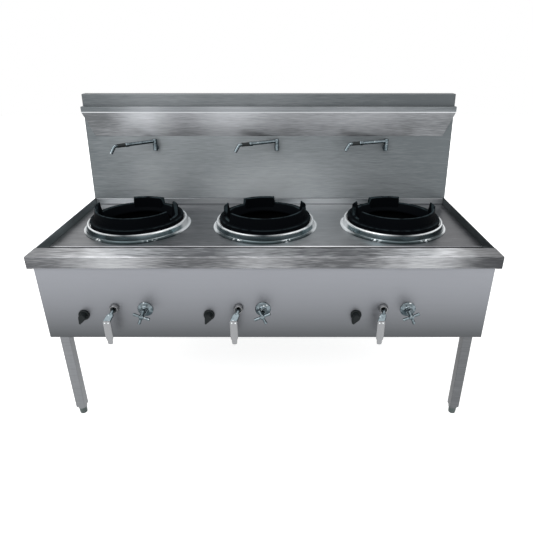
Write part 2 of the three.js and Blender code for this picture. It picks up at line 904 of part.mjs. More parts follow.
// The cold main, its three tap valves, and the risers that go under the fire chambers
// and up behind the splashback.
function waterManifold() {
  const end = bays[2].bay * bayPitch + bays[2].tap;
  const main = pipe(
    [
      [waterInletX, depth, waterPipeZ],
      [waterInletX, waterPipeY, waterPipeZ],
      [end, waterPipeY, waterPipeZ],
    ],
    waterPipeRadius,
  );
  const branches = bays.flatMap(({ bay, tap, spout }) => {
    const tapX = bay * bayPitch + tap;
    const spoutX = bay * bayPitch + spout;
    const riser = pipe(
      [
        [tapX, valveY + waterValveLength / 2, tapZ],
        [tapX, riserDropY, tapZ],
        [tapX, riserDropY, riserLowZ],
        [tapX, riserBendY, riserLowZ],
        [spoutX, riserY, riserLowZ],
        [spoutX, riserY, spoutFeedZ + 2 * riserRadius],
      ],
      riserRadius,
    );
    return [
      rod([tapX, valveY, tapZ], [tapX, valveY + waterValveLength, tapZ], waterValveRadius),
      rod([tapX, waterPipeY, tapZ], [tapX, waterPipeY, waterPipeZ], waterPipeRadius),
      riser,
    ];
  });
  return join(main, ...branches);
}

// ---- One swing spout ----
// The pillar comes out of the splashback and turns up; the spout swivels on its top.
function spoutPillar() {
  const back = riserY - riserRadius - fit - spoutPillarY;
  const flangeBack = sheetY(spoutFeedZ - roseRadius) - fit - spoutPillarY;
  return join(
    rod([0, 0, pillarFootZ], [0, 0, swivelZ - fit], spoutPillarRadius, turnedSides),
    rod([0, 0, spoutFeedZ], [0, back, spoutFeedZ], riserRadius),
    rod([0, flangeBack - 2 * sheet, spoutFeedZ], [0, flangeBack, spoutFeedZ], roseRadius, turnedSides),
  );
}

// Distances along the spout's arm, from the pillar's axis.
const nutStart = spoutArmLength;
const sleeveStart = nutStart + nutLength + fit;
const sleeveEnd = sleeveStart + sleeveLength;

function swingSpout() {
  const along = (distance, z = spoutArmZ) => [-distance, 0, z];
  const tipStart = sleeveEnd + fit;
  return join(
    rod([0, 0, swivelZ], [0, 0, pillarTopZ], spoutPillarRadius, turnedSides),
    rod(along(0), along(nutStart), spoutArmRadius),
    rod(along(nutStart - sheet), along(nutStart + nutLength), nutRadius, 6),
    rod(along(nutStart), along(tipStart + tipRadius), sleeveTube),
    rod(along(tipStart), along(tipStart + tipRadius), tipRadius),
    new THREE.SphereGeometry(tipRadius, pipeSides, pipeSides / 2).translate(...along(tipStart + tipRadius)),
    rod(
      along(tipStart + tipRadius),
      along(tipStart + tipReach, spoutArmZ - tipDrop),
      tipRadius,
    ),
  );
}

function spoutSleeve() {
  const bore = sleeveTube + 2 * fit;
  const profile = [
    [bore, sleeveStart],
    [sleeveRadius, sleeveStart],
    [sleeveRadius, sleeveEnd],
    [bore, sleeveEnd],
  ];
  return turned(profile, pipeSides).rotateY(-Math.PI / 2).translate(0, 0, spoutArmZ);
}

// ---- The assembly ----
piece("top_rim", frontRim(), brushedSteel);
piece("deck", deck(), brushedSteel);
piece("gutter_trough", gutterTrough(), darkSteel);
const drain = groupAt(drainX, drainY, 0);
piece("drain_outlet", drainOutlet(), satinSteel, drain);
piece("front_panel", frontPanel(), brushedSteel);
piece("side_panel_left", sidePanel(-1), brushedSteel);
piece("side_panel_right", sidePanel(1), brushedSteel);
piece("rear_panel", rearPanel(), brushedSteel);
piece("base_pan", basePan(), darkSteel);
piece("splashback_sheet", splashbackSheet(), brushedSteel);
piece("splashback_cap_left", splashbackCap(-1), brushedSteel);
piece("splashback_cap_right", splashbackCap(1), brushedSteel);
piece("duct_cover", ductCover(), brushedSteel);

const legTop = workingHeight - sheet - fit;
for (const { name, x, y } of legPlaces) {
  const place = groupAt(x, y, 0);
  piece("leg_" + name, leg(legTop - footHeight), satinSteel, place).position.z = footHeight;
  piece("foot_" + name, foot(), darkSteel, place);
}

piece("gas_manifold", gasManifold(), brass);
piece("water_manifold", waterManifold(), brass);

for (const { side, bay, hand, ringTurn, knob: knobX, lever, tap, spout } of bays) {
  const middle = bay * bayPitch;
  const station = groupAt(burnerX(bay), burnerY, 0);
  piece("burner_collar_" + side, collar(), chrome, station);
  piece("fire_chamber_" + side, fireChamber(), darkSteel, station);
  piece("burner_" + side, burner(middle + lever - burnerX(bay)), castIron, station);
  piece("wok_ring_" + side, wokRing(hand, ringTurn), castIron, station);

  piece("knob_" + side, knob(), blackPlastic, groupAt(middle + knobX, 0, knobZ));
  const leverPlace = groupAt(middle + lever, 0, leverZ);
  piece("lever_boss_" + side, leverBoss(), satinSteel, leverPlace);
  piece("knee_lever_" + side, kneeLever(), satinSteel, leverPlace);
  const tapPlace = groupAt(middle + tap, 0, tapZ);
  piece("tap_escutcheon_" + side, escutcheon(), chrome, tapPlace);
  piece("tap_handle_" + side, tapHandle(tapTurns[side]), chrome, tapPlace);

  const spoutPlace = groupAt(middle + spout, spoutPillarY, 0);
  piece("spout_pillar_" + side, spoutPillar(), chrome, spoutPlace);
  const swung = new THREE.Group();
  swung.rotation.z = degrees(spoutTurns[side]);
  spoutPlace.add(swung);
  piece("spout_" + side, swingSpout(), chrome, swung);
  piece("spout_sleeve_" + side, spoutSleeve(), blackPlastic, swung);
}

// The origin is the middle of the footprint, from the tap handles to the rear panel.
const frontMost = frontPanelInset - tapReach - tapHubLength / 2;
range.position.y = -(frontMost + depth) / 2;
const object = new THREE.Group();
object.add(range);
export default object;
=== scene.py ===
"""Dresses a three-burner stainless steel wok range and sets it on a plain studio floor.

Metres, +X to the right, +Y to the back, +Z up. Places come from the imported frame.
"""

import json
import math

import bmesh
import bpy
from bpy.props import FloatProperty, FloatVectorProperty, IntProperty, PointerProperty
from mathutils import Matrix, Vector


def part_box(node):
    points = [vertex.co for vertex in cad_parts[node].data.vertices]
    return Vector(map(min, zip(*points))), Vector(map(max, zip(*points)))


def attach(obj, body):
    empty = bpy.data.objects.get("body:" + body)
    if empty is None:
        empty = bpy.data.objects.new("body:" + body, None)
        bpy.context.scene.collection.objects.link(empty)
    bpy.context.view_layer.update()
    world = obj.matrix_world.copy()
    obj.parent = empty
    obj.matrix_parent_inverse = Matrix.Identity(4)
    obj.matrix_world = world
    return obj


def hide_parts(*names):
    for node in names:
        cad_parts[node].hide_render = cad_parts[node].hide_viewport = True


bl_info = {
    "name": "Wok range",
    "version": (1, 0, 0),
    "blender": (4, 5, 0),
    "location": "3D View > Sidebar > Wok range",
    "description": "Makes the finished pieces of a three-burner wok range around its frame",
    "category": "Object",
}

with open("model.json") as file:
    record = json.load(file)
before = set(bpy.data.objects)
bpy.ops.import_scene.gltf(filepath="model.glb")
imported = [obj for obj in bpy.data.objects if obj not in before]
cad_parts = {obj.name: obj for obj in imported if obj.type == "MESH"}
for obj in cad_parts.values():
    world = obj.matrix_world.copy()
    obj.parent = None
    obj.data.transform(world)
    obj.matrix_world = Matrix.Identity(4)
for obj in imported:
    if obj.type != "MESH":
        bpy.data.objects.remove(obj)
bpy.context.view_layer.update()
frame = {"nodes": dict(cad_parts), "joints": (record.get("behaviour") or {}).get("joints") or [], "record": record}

SIDES = ("left", "middle", "right")
CORNERS = ("front_left", "front_right", "rear_left", "rear_right")
FIT = 0.0003  # clearance between pieces that touch

# ---- Places in the frame ----
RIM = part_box("top_rim")
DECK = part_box("deck")
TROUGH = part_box("gutter_trough")
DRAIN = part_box("drain_outlet")
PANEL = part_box("front_panel")
SIDE_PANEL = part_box("side_panel_right")
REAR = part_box("rear_panel")
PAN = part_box("base_pan")
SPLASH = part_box("splashback_sheet")
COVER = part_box("duct_cover")
RIM_FACE_Y = RIM[0].y
TOP_Z = RIM[1].z
HALF_WIDTH = RIM[1].x
BODY_HALF = PANEL[1].x
PANEL_Y = PANEL[0].y
BODY_BOTTOM_Z = PANEL[0].z
SPLASH_Y = SPLASH[0].y
SPLASH_TOP_Z = SPLASH[1].z


# ---- Sizes and colours that a user would change ----
def linear(colour):
    """An sRGB hex colour as linear red, green, blue and alpha."""
    parts = [int(colour[i : i + 2], 16) / 255 for i in (1, 3, 5)]
    return tuple(c / 12.92 if c <= 0.04045 else ((c + 0.055) / 1.055) ** 2.4 for c in parts) + (1.0,)


def length(name, default, description):
    """A size in metres."""
    more = {"min": 0.0, "precision": 4, "unit": "LENGTH"}
    return FloatProperty(name=name, description=description, default=default, **more)


def colour(name, default, description):
    """A colour, given as sRGB hex."""
    more = {"size": 4, "subtype": "COLOR"}
    return FloatVectorProperty(name=name, description=description, default=linear(default), **more)


class SheetSizes(bpy.types.PropertyGroup):
    """Folded sheets."""

    thickness: length("Sheet", 0.002, "Thickness of the folded sheets")
    bend: length("Bend", 0.0022, "Inside radius of a fold")
    edge: length("Cut edge", 0.0004, "Width of the deburred edge of a sheet")
    front_top: length("Front rim", 0.09, "Width of the front rim's flat top")
    side_top: length("Side rims", 0.005, "Width of the side rims' tops")
    side_lean: length("Side rims' lean", 0.0025, "How far their inner walls lean in")
    front_drop: length("Front rim's drop", 0.043, "Depth of its inner wall")
    deck_lip: length("Deck lip", 0.01, "Height of the fold along the deck's front edge")
    deck_edge: length("Deck edge", 0.008, "Radius of the deck's front edge")
    deck_hole: length("Deck holes", 0.213, "Radius of the burner holes")
    upstand_fold: length("Upstand fold", 0.02, "Fold behind the deck's rear upstand")
    gutter_corner: length("Gutter corners", 0.008, "Radius along the gutter's floor")
    panel_return: length("Panel return", 0.018, "Folded edge at the bottom of the panels")
    hem_height: length("Panel hem", 0.007, "Height of the hem at the front panel's top")
    hem_step: length("Hem step", 0.0018, "How far the hem stands proud")
    splash_lean: length("Splashback's lean", 0.054, "How far it leans back over its height")
    cover_lip: length("Cover lip", 0.026, "Height of the duct cover's upright lip")
    cover_hip: length("Cover hip", 0.044, "How far its lower corners are drawn in")
    air_hole: length("Air holes", 0.11, "Radius of the air holes in the pan")


class BurnerSizes(bpy.types.PropertyGroup):
    """Collars, wok rings, chambers and burners."""

    sides: IntProperty(name="Sides", description="Sides of the large round pieces", default=144)
    collar_base: length("Collar base", 0.236, "Outer radius of the collar on the deck")
    collar_skirt: length("Collar skirt", 0.224, "Radius of the collar's wall")
    collar_flare: length("Collar flare", 0.009, "Radius where the wall meets the base")
    bead: length("Bead", 0.006, "Radius of the rolled top")
    bead_centre: length("Bead's place", 0.2145, "Radius of the middle of the rolled top")
    ledge: length("Ledge", 0.19, "Inner radius of the collar's ledge")
    ring_outer: length("Ring", 0.206, "Outer radius of the wok ring")
    ring_flange: length("Ring flange", 0.018, "Height of the ring's outer flange")
    ring_wall: length("Ring wall", 0.022, "Height of the low wall inside the flange")
    ring_throat: length("Ring throat", 0.152, "Radius of the opening for the wok")
    guard: length("Guard", 0.062, "Height of the raised front guard")
    lug: length("Back lug", 0.052, "Height of the wide back lug")
    horn: length("Horns", 0.078, "Height of the two side horns")
    chamber: length("Chamber", 0.2, "Outer radius of the fire chamber")
    chamber_floor: length("Chamber floor", 0.106, "Radius of the chamber's floor")
    burner_neck: length("Burner", 0.056, "Radius of the burner's crown")
    mixer: length("Mixing tube", 0.019, "Radius of the burner's mixing tube")
    jet: length("Jet", 0.0026, "Radius of a flame port's boss")
    jet_gap: length("Jet spacing", 0.0105, "Distance between flame ports")


class ControlSizes(bpy.types.PropertyGroup):
    """Knobs, levers, taps and spouts."""

    knob: length("Knob", 0.022, "Radius of the knob's skirt")
    knob_skirt: length("Knob skirt", 0.008, "Height of the knob's skirt")
    knob_grip: length("Knob grip", 0.022, "Height of the pointer over the skirt")
    knob_tail: length("Knob tail", 0.034, "Reach of the pointer from the knob's middle")
    boss: length("Lever boss", 0.019, "Radius of the lever's boss")
    lever_stem: length("Lever stem", 0.006, "Radius of the lever's stem")
    lever_bar: length("Lever bar", 0.027, "Width of the flat bar to the handle")
    lever_bar_depth: length("Lever bar's depth", 0.009, "Thickness of the flat bar")
    handle_top: length("Handle top", 0.03, "Width of the lever's handle at its top")
    handle_depth: length("Handle depth", 0.011, "Thickness of the handle")
    escutcheon: length("Escutcheon", 0.031, "Radius of the tap's flange")
    bonnet: length("Bonnet", 0.014, "Radius of the tap's bonnet")
    tap_hub: length("Tap hub", 0.011, "Radius of the cross handle's hub")
    tap_arm: length("Tap arm", 0.006, "Radius of the cross handle's arms")
    tap_reach: length("Tap reach", 0.034, "Length of each arm from the tap's axis")
    pillar: length("Spout pillar", 0.011, "Radius of the spout's pillar")
    rose: length("Spout rose", 0.012, "Radius of the spout's flange on the wall")
    spout_arm: length("Spout arm", 0.0085, "Radius of the spout's arm")
    spout_reach: length("Spout reach", 0.134, "Length of the arm from the pillar's axis")
    spout_nut: length("Spout nut", 0.011, "Radius of the nut at the arm's end")
    nut_length: length("Nut length", 0.016, "Length of the nut")
    sleeve: length("Sleeve", 0.009, "Radius of the black sleeve")
    sleeve_length: length("Sleeve length", 0.04, "Length of the black sleeve")
    sleeve_tube: length("Sleeve tube", 0.0045, "Radius of the tube inside the sleeve")
    spout_tip: length("Spout tip", 0.008, "Radius of the spout's tip")
    tip_reach: length("Tip reach", 0.034, "Reach of the tip from the sleeve")
    tip_drop: length("Tip drop", 0.031, "Drop of the tip")


class Finishes(bpy.types.PropertyGroup):
    """Colours of the finishes."""

    # Painted light: the rims run from dull to painted highlights, with painted shade mixed into their upright
    # face.
    rim_dull: colour("Rim, dull", "#76777a", "Brushed rims between their bright patches")
    rim_highlight: colour("Rim, bright", "#f2f4f7", "Brushed rims where they shine")
    rim_shade: colour("Rim, face", "#1e1f21", "Mixed into the rims' upright face")
    # Painted light: the deck runs from dull to painted highlights, and its upstand is painted lighter.
    deck_dull: colour("Deck, dull", "#5e5f62", "Deck where it is dull")
    deck_highlight: colour("Deck, bright", "#c4c6c8", "Deck where it shines")
    upstand: colour("Upstand", "#dfe3e6", "Low upright behind the deck")
    fold_shade: colour("Upstand's folds", "#3c4043", "Folds of the upstand, in shadow")
    # Painted shade: the side rims' inner walls take this tone of their own.
    wall: colour("Inner walls", "#8b9395", "Inner faces of the side rims")
    # Painted light: the splashback and the rear panel run from dull ends to painted highlights.
    splash_dull: colour("Splashback, dull", "#62686b", "Splashback near its ends")
    splash_highlight: colour("Splashback, bright", "#a9aeb1", "Splashback where it shines")
    # Painted light: the duct cover runs from dull ends to painted highlights.
    cover_dull: colour("Cover, dull", "#5c5e60", "Duct cover near its ends")
    cover_highlight: colour("Cover, bright", "#bfc1c5", "Duct cover where it shines")
    # Painted light and shade: the panels are paler under the rim and darker to the floor.
    panel_light: colour("Panel, top", "#84868b", "Front panel under the rim")
    panel_shade: colour("Panel, foot", "#4e5052", "Front panel along its bottom")
    # Painted highlight along the folds.
    fold_highlight: colour("Folds", "#c9cbce", "Worn shine along folds")
    # Partly the mill steel's own grey, partly painted shade for the gutter.
    mill: colour("Mill steel", "#4a4e50", "Hidden sheets, as rolled")
    # Painted light and shade: the legs take darker and lighter copies of this colour.
    leg: colour("Leg tube", "#85878a", "Brushed tube of the legs")
    # Painted reflections on the collars: white at their sides, painted shade on their walls, rolls and feet,
    # painted patches of light.
    polish: colour("Polished steel", "#e6eaec", "Spun collars, polished")
    polish_shade: colour("Polished steel, shaded", "#5a686c", "The collars' upright walls")
    wall_patch: colour("Collar patches", "#8a9a9f", "Patches of light on the collars' walls")
    roll: colour("Collar roll, front", "#33383b", "The collars' rolled tops where they face the front")
    collar_foot_shade: colour("Collar foot", "#3f484b", "The collars' flared feet away from the sides")
    # Painted reflections on chrome: light where it faces the room, painted shade where it faces away.
    chrome: colour("Chrome", "#707a7f", "Plated pieces where they see the room")
    chrome_shade: colour("Chrome, shaded", "#333e43", "Plated pieces where they see the dark range")
    # Painted highlight: grey along the castings' edges.
    iron: colour("Cast iron", "#05070a", "Oiled black castings")
    iron_highlight: colour("Cast iron, worn", "#2f393d", "Worn edges of the castings")
    # Near black: soot, and painted shade inside the fire chambers.
    soot: colour("Soot", "#060708", "Sooted steel of the fire chambers")
    bakelite: colour("Knob", "#101415", "Moulded black knobs")
    handle: colour("Lever handle", "#929395", "Satin cast handles")
    rubber: colour("Rubber", "#15191a", "Sleeves of the spouts")
    nylon: colour("Feet", "#3e4746", "Moulded feet")
    # Painted shade inside the lever cups.
    recess: colour("Lever cups' recess", "#5c6163", "Inside of the lever cups")
    brass: colour("Brass", "#b08d57", "Pipes and valves")
    zinc: colour("Screws", "#8f9497", "Zinc-plated screws")
    floor: colour("Floor", "#e9eaea", "Studio floor")


class StageSettings(bpy.types.PropertyGroup):
    """Camera, lamps and floor."""

    lens: FloatProperty(name="Lens", description="Focal length in millimetres", default=32.21)
    pitch: FloatProperty(
        name="Pitch", description="How far it looks down", default=math.radians(25.32), subtype="ANGLE"
    )
    shift: FloatProperty(
        name="Shift", description="Sideways shift of the picture, as a share of its width", default=-0.0341
    )
    camera: FloatVectorProperty(
        name="Camera", description="Where it stands", default=(0.077, -2.023, 1.531), subtype="XYZ"
    )
    world: FloatProperty(name="World", description="Strength of the world on plain surfaces", default=0.55)
    sun: FloatProperty(name="Sun", description="Strength of the soft sun", default=1.3)
    key: FloatProperty(name="Key", description="Power of the key lamp in watts", default=26.0)
    fill: FloatProperty(name="Fill", description="Power of the fill lamp in watts", default=12.0)


# ---- Outlines ----
BEND_STEPS = 5
STRAIGHT = 1e-4  # turns under this are no corners
BEND_ROOM = 0.49  # of the shorter side that a bend may take
SHARP = 1e-5  # the bend of a corner that stays sharp
WELD = 1e-6  # points nearer than this are one


def rounded(line, radius, steps=BEND_STEPS):
    """A line with its corners rounded: (point, direction, how far into its bend) for each point."""
    corners = [Vector(point).to_3d() for point in line]
    made = [(corners[0], (corners[1] - corners[0]).normalized(), 0.0)]
    for before, corner, after in zip(corners, corners[1:], corners[2:]):
        arriving, leaving = (corner - before).normalized(), (after - corner).normalized()
        turn = arriving.angle(leaving)
        if turn < STRAIGHT:
            made.append((corner, leaving, 0.0))
            continue
        room = BEND_ROOM * min((corner - before).length, (after - corner).length)
        reach = min(radius * math.tan(turn / 2), room)
        bow = reach / math.tan(turn / 2)
        inward = (leaving - arriving * arriving.dot(leaving)).normalized()
        centre = corner - arriving * reach + inward * bow
        for step in range(steps + 1):
            angle = turn * step / steps
            point = centre - inward * bow * math.cos(angle) + arriving * bow * math.sin(angle)
            heading = arriving * math.cos(angle) + inward * math.sin(angle)
            made.append((point, heading, math.sin(math.pi * step / steps)))
    made.append((corners[-1], (corners[-1] - corners[-2]).normalized(), 0.0))
    return made


def outline(corners, radius, steps=BEND_STEPS):
    """A closed outline with its corners rounded, as (u, v) points."""
    first, last = Vector(corners[0]), Vector(corners[-1])
    seam = (first + last) / 2
    return [(p.x, p.y) for p, _, _ in rounded([seam, *corners, seam], radius, steps)[:-1]]


def folded(line, thickness, bend, steps=BEND_STEPS):
    """Both skins of a sheet folded along a line, its thickness on the line's right."""
    corners = [Vector(point) for point in line]
    rights = []
    for start, end in zip(corners, corners[1:]):
        run = (end - start).normalized()
        rights.append(Vector((run.y, -run.x)))
    middle = []
    for i, corner in enumerate(corners):
        before, after = rights[max(i - 1, 0)], rights[min(i, len(rights) - 1)]
        middle.append(corner + (before + after) * (thickness / 2 / (1 + before.dot(after))))
    skins = []
    for point, heading, into in rounded(middle, bend + thickness / 2, steps):
        right = Vector((heading.y, -heading.x, 0.0)) * (thickness / 2)
        skins.append((point - right, point + right, into))
    return skins


def arc(u, v, radius, start, end, steps=6):
    """Points of a round stretch, by angles in degrees."""
    turns = [math.radians(start + (end - start) * i / steps) for i in range(steps + 1)]
    return [(u + radius * math.cos(t), v + radius * math.sin(t)) for t in turns]


def rectangle(low_u, low_v, high_u, high_v):
    """The four corners of a rectangle."""
    return [(low_u, low_v), (high_u, low_v), (high_u, high_v), (low_u, high_v)]


# ---- Meshes ----
def along_x(x):
    """Puts a flat (y, z) point at x."""
    return lambda point: Vector((x, point[0], point[1]))


def along_y(y, side=1):
    """Puts a flat (x, z) point at y, mirrored for the left side."""
    return lambda point: Vector((side * point[0], y, point[1]))


def along_z(z, centre=(0.0, 0.0)):
    """Puts a flat (x, y) point at z, round a centre."""
    return lambda point: Vector((centre[0] + point[0], centre[1] + point[1], z))


def placed_mesh(name, shell):
    """A new object with a shell as its mesh."""
    mesh = bpy.data.meshes.new(name)
    shell.to_mesh(mesh)
    shell.free()
    made = bpy.data.objects.new(name, mesh)
    bpy.context.scene.collection.objects.link(made)
    return made


def piece(name, shell):
    """A new object from a closed shell, with its faces outwards."""
    bmesh.ops.remove_doubles(shell, verts=shell.verts, dist=WELD)
    bmesh.ops.recalc_face_normals(shell, faces=shell.faces)
    return placed_mesh(name, shell)


def sheet(name, stations):
    """A closed folded sheet through stations of (skins, place) pairs."""
    shell = bmesh.new()
    bend = shell.verts.layers.float.new("bend")
    rows = []
    for skins, place in stations:
        row = []
        for outer, inner, into in skins:
            pair = shell.verts.new(place(outer)), shell.verts.new(place(inner))
            for vertex in pair:
                vertex[bend] = into
            row.append(pair)
        rows.append(row)
    for row, after in zip(rows, rows[1:]):
        for i in range(len(row) - 1):
            for skin in (0, 1):
                shell.faces.new((row[i][skin], row[i + 1][skin], after[i + 1][skin], after[i][skin]))
        for i in (0, -1):
            shell.faces.new((row[i][0], after[i][0], after[i][1], row[i][1]))
    for row in (rows[0], rows[-1]):
        for (outer, inner), (next_outer, next_inner) in zip(row, row[1:]):
            shell.faces.new((outer, inner, next_inner, next_outer))
    return piece(name, shell)


def straight_sheet(name, line, bend, start, end, place=along_x, thickness=None):
    """A sheet folded along one line from start to end."""
    skins = folded(line, thickness or sizes().sheet.thickness, bend)
    return sheet(name, [(skins, place(start)), (skins, place(end))])


def loft(name, rings, around=False):
    """A closed mesh through rings of points; around joins the last ring to the first."""
    shell = bmesh.new()
    rows = [[shell.verts.new(point) for point in ring] for ring in rings]
    pairs = list(zip(rows, rows[1:]))
    if around:
        pairs.append((rows[-1], rows[0]))
    else:
        shell.faces.new(rows[0])
        shell.faces.new(rows[-1])
    for row, after in pairs:
        for i in range(len(row)):
            shell.faces.new((row[i - 1], row[i], after[i], after[i - 1]))
    return piece(name, shell)


def slab(name, shape, place, *levels):
    """A closed piece that carries a flat shape from level to level."""
    return loft(name, [[place(level)(point) for point in shape] for level in levels])


def turned(name, profile, centre, sides=48, axis="Z"):
    """A profile of (radius, height) points turned round an upright or level axis through centre."""
    rings = []
    for i in range(sides):
        angle = 2 * math.pi * i / sides
        c, s = math.cos(angle), math.sin(angle)
        ring = [Vector((r * c, r * s, h) if axis == "Z" else (r * c, h, r * s)) for r, h in profile]
        rings.append([Vector(centre) + point for point in ring])
    return loft(name, rings, around=True)


def swept(name, path, radius, sides=24, bend=0.0, steps=6):
    """A rod along a path; radius is a number or a function of the share of the way."""
    stops = rounded(path, bend, steps) if bend else rounded(path, SHARP, 2)
    total = sum((a[0] - b[0]).length for a, b in zip(stops, stops[1:]))
    side = stops[0][1].orthogonal().normalized()
    gone, rings, before = 0.0, [], stops[0][0]
    for point, heading, _ in stops:
        gone += (point - before).length
        before = point
        side = (side - heading * side.dot(heading)).normalized()
        up = heading.cross(side)
        reach = radius(gone / total) if callable(radius) else radius
        turns = [2 * math.pi * i / sides for i in range(sides)]
        rings.append([point + (side * math.cos(t) + up * math.sin(t)) * reach for t in turns])
    return loft(name, rings)


def drilled(whole, cutters, operation="DIFFERENCE"):
    """Cuts holes in a piece, or joins others to it, and deletes the tools."""
    for cutter in cutters:
        hole = whole.modifiers.new("hole", "BOOLEAN")
        hole.object, hole.operation, hole.solver = cutter, operation, "EXACT"
    applied(whole)
    for cutter in cutters:
        bpy.data.objects.remove(cutter)
    return whole


def united(whole, *others):
    """Joins overlapping pieces into one closed piece."""
    return drilled(whole, others, "UNION")


def applied(obj):
    """Turns a piece with its modifiers into a plain mesh."""
    evaluated = obj.evaluated_get(bpy.context.evaluated_depsgraph_get())
    mesh = bpy.data.meshes.new_from_object(evaluated)
    obj.modifiers.clear()
    obj.data = mesh
    return obj


SMOOTH_ANGLE = math.radians(32)


def softened(obj, width, segments=2, angle=SMOOTH_ANGLE):
    """Rounds the edges of a piece that are sharper than an angle."""
    soft = obj.modifiers.new("soft edges", "BEVEL")
    soft.width, soft.segments, soft.limit_method, soft.angle_limit = width, segments, "ANGLE", angle
    return applied(obj)


def finished(obj, body, node, kind, edge=0.0, segments=2, also=()):
    """Softens a piece's edges, shades it, gives it its finish and hands it to the frame."""
    if edge:
        softened(obj, edge, segments)
    obj.data.shade_smooth()
    obj.data.set_sharp_from_angle(angle=SMOOTH_ANGLE)
    weighted = obj.modifiers.new("flat faces stay flat", "WEIGHTED_NORMAL")
    weighted.keep_sharp = True
    applied(obj)
    obj.data.materials.clear()
    for finish in (kind, *also):
        obj.data.materials.append(material(finish))
    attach(obj, body)
    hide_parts(node)


def sizes():
    """The scene's sizes and colours."""
    return bpy.context.scene.wok_range


def middle(node):
    """The middle of a node's box."""
    low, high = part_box(node)
    return (low + high) / 2


# ---- Materials ----
def add(tree, kind, inputs=(), **settings):
    """Adds a node with its settings, and fills its inputs with values or links."""
    made = tree.nodes.new(kind)
    for name, value in settings.items():
        setattr(made, name, value)
    for key, value in dict(inputs).items():
        if isinstance(value, bpy.types.NodeSocket):
            tree.links.new(value, made.inputs[key])
        else:
            made.inputs[key].default_value = value
    return made


def maths(tree, operation, *values, clamp=False):
    """One step of arithmetic on sockets or numbers."""
    made = add(tree, "ShaderNodeMath", dict(enumerate(values)), operation=operation, use_clamp=clamp)
    return made.outputs[0]


def plus(tree, first, second, clamp=False):
    """The sum of two levels."""
    return maths(tree, "ADD", first, second, clamp=clamp)


def minus(tree, first, second):
    """One level less another."""
    return maths(tree, "SUBTRACT", first, second)


def times(tree, level, *others):
    """The product of levels."""
    for other in others:
        level = maths(tree, "MULTIPLY", level, other)
    return level


def over(tree, level, limit):
    """1 where one level is over another."""
    return maths(tree, "GREATER_THAN", level, limit)


def ranged(tree, level, low, high, start=0.0, end=1.0, kind="LINEAR"):
    """A level stretched so that low and high become start and end."""
    inputs = {"Value": level, "From Min": low, "From Max": high, "To Min": start, "To Max": end}
    return add(tree, "ShaderNodeMapRange", inputs, interpolation_type=kind).outputs[0]


def step(tree, level, low, high):
    """A soft step from 0 at low to 1 at high."""
    return ranged(tree, level, low, high, kind="SMOOTHSTEP")


def swing(tree, noise, weight):
    """Noise as a swing to both sides of 0."""
    return times(tree, minus(tree, noise, 0.5), weight)


def between(tree, share, low, high):
    """A mix of two colours by a share."""
    return add(tree, "ShaderNodeMix", {0: share, 6: low, 7: high}, data_type="RGBA").outputs[2]


def hills(tree, along, places):
    """A level that rises to a height round each place: (middle, half width, height)."""
    level = 0.0
    for centre, width, height in places:
        off = maths(tree, "DIVIDE", minus(tree, along, centre), width)
        bell = maths(tree, "EXPONENT", times(tree, maths(tree, "POWER", off, 2.0), -1.0))
        level = plus(tree, level, times(tree, bell, height))
    return level


def attribute(tree, name):
    """A value painted on the mesh."""
    return add(tree, "ShaderNodeAttribute", attribute_name=name).outputs["Fac"]


def grain(tree, coords, scale, detail=2.0, seed=0.0):
    """Noise with one unit to each stretch of the scale, in metres."""
    stretch = scale if isinstance(scale, tuple) else (scale, scale, scale)
    inputs = {"Vector": coords, "Scale": [1 / s for s in stretch], "Location": (seed, seed, seed)}
    stretched = add(tree, "ShaderNodeMapping", inputs).outputs[0]
    noise = add(tree, "ShaderNodeTexNoise", {"Vector": stretched, "Scale": 1.0, "Detail": detail})
    return noise.outputs["Fac"]


def paint(name, share=1.0):
    """A colour from the settings, made darker or lighter by a share."""
    red, green, blue, alpha = getattr(sizes().finish, name)
    return (red * share, green * share, blue * share, alpha)


def fresh(name):
    """A new material, its node tree and its object coordinates."""
    made = bpy.data.materials.new(name)
    made.use_nodes = True
    tree = made.node_tree
    tree.nodes.clear()
    return made, tree, add(tree, "ShaderNodeTexCoord").outputs["Object"]


def split(tree, coords):
    """The x, y and z of coordinates."""
    return add(tree, "ShaderNodeSeparateXYZ", {0: coords}).outputs


BUMP_STRENGTH = 0.6


def surfaced(tree, colour, roughness, metallic, height=None, depth=0.0002, **settings):
    """Ends a material: a principled surface with a bump of a depth in metres."""
    inputs = {"Base Color": colour, "Roughness": roughness, "Metallic": metallic}
    inputs.update({name.replace("_", " "): value for name, value in settings.items()})
    if height is not None:
        relief = {"Height": height, "Distance": depth, "Strength": BUMP_STRENGTH}
        inputs["Normal"] = add(tree, "ShaderNodeBump", relief).outputs[0]
    shader = add(tree, "ShaderNodeBsdfPrincipled", inputs)
    add(tree, "ShaderNodeOutputMaterial", {"Surface": shader.outputs[0]})


# Brush lines are 0.1 to 0.3 mm wide on the real sheet, too fine for the picture, so they
# are drawn about as wide as one of its pixels: 2.7 mm upright and 6.5 mm on a level sheet.
BRUSH_LINE = (0.055, 0.0065, 0.0027)
BRUSH_BAND = (0.5, 0.03, 0.014)
CLOUD = (0.28, 0.16, 0.16)
LINE_WEIGHT = 2.3
BAND_WEIGHT = 0.6
BRUSH_DEPTH = 0.00012


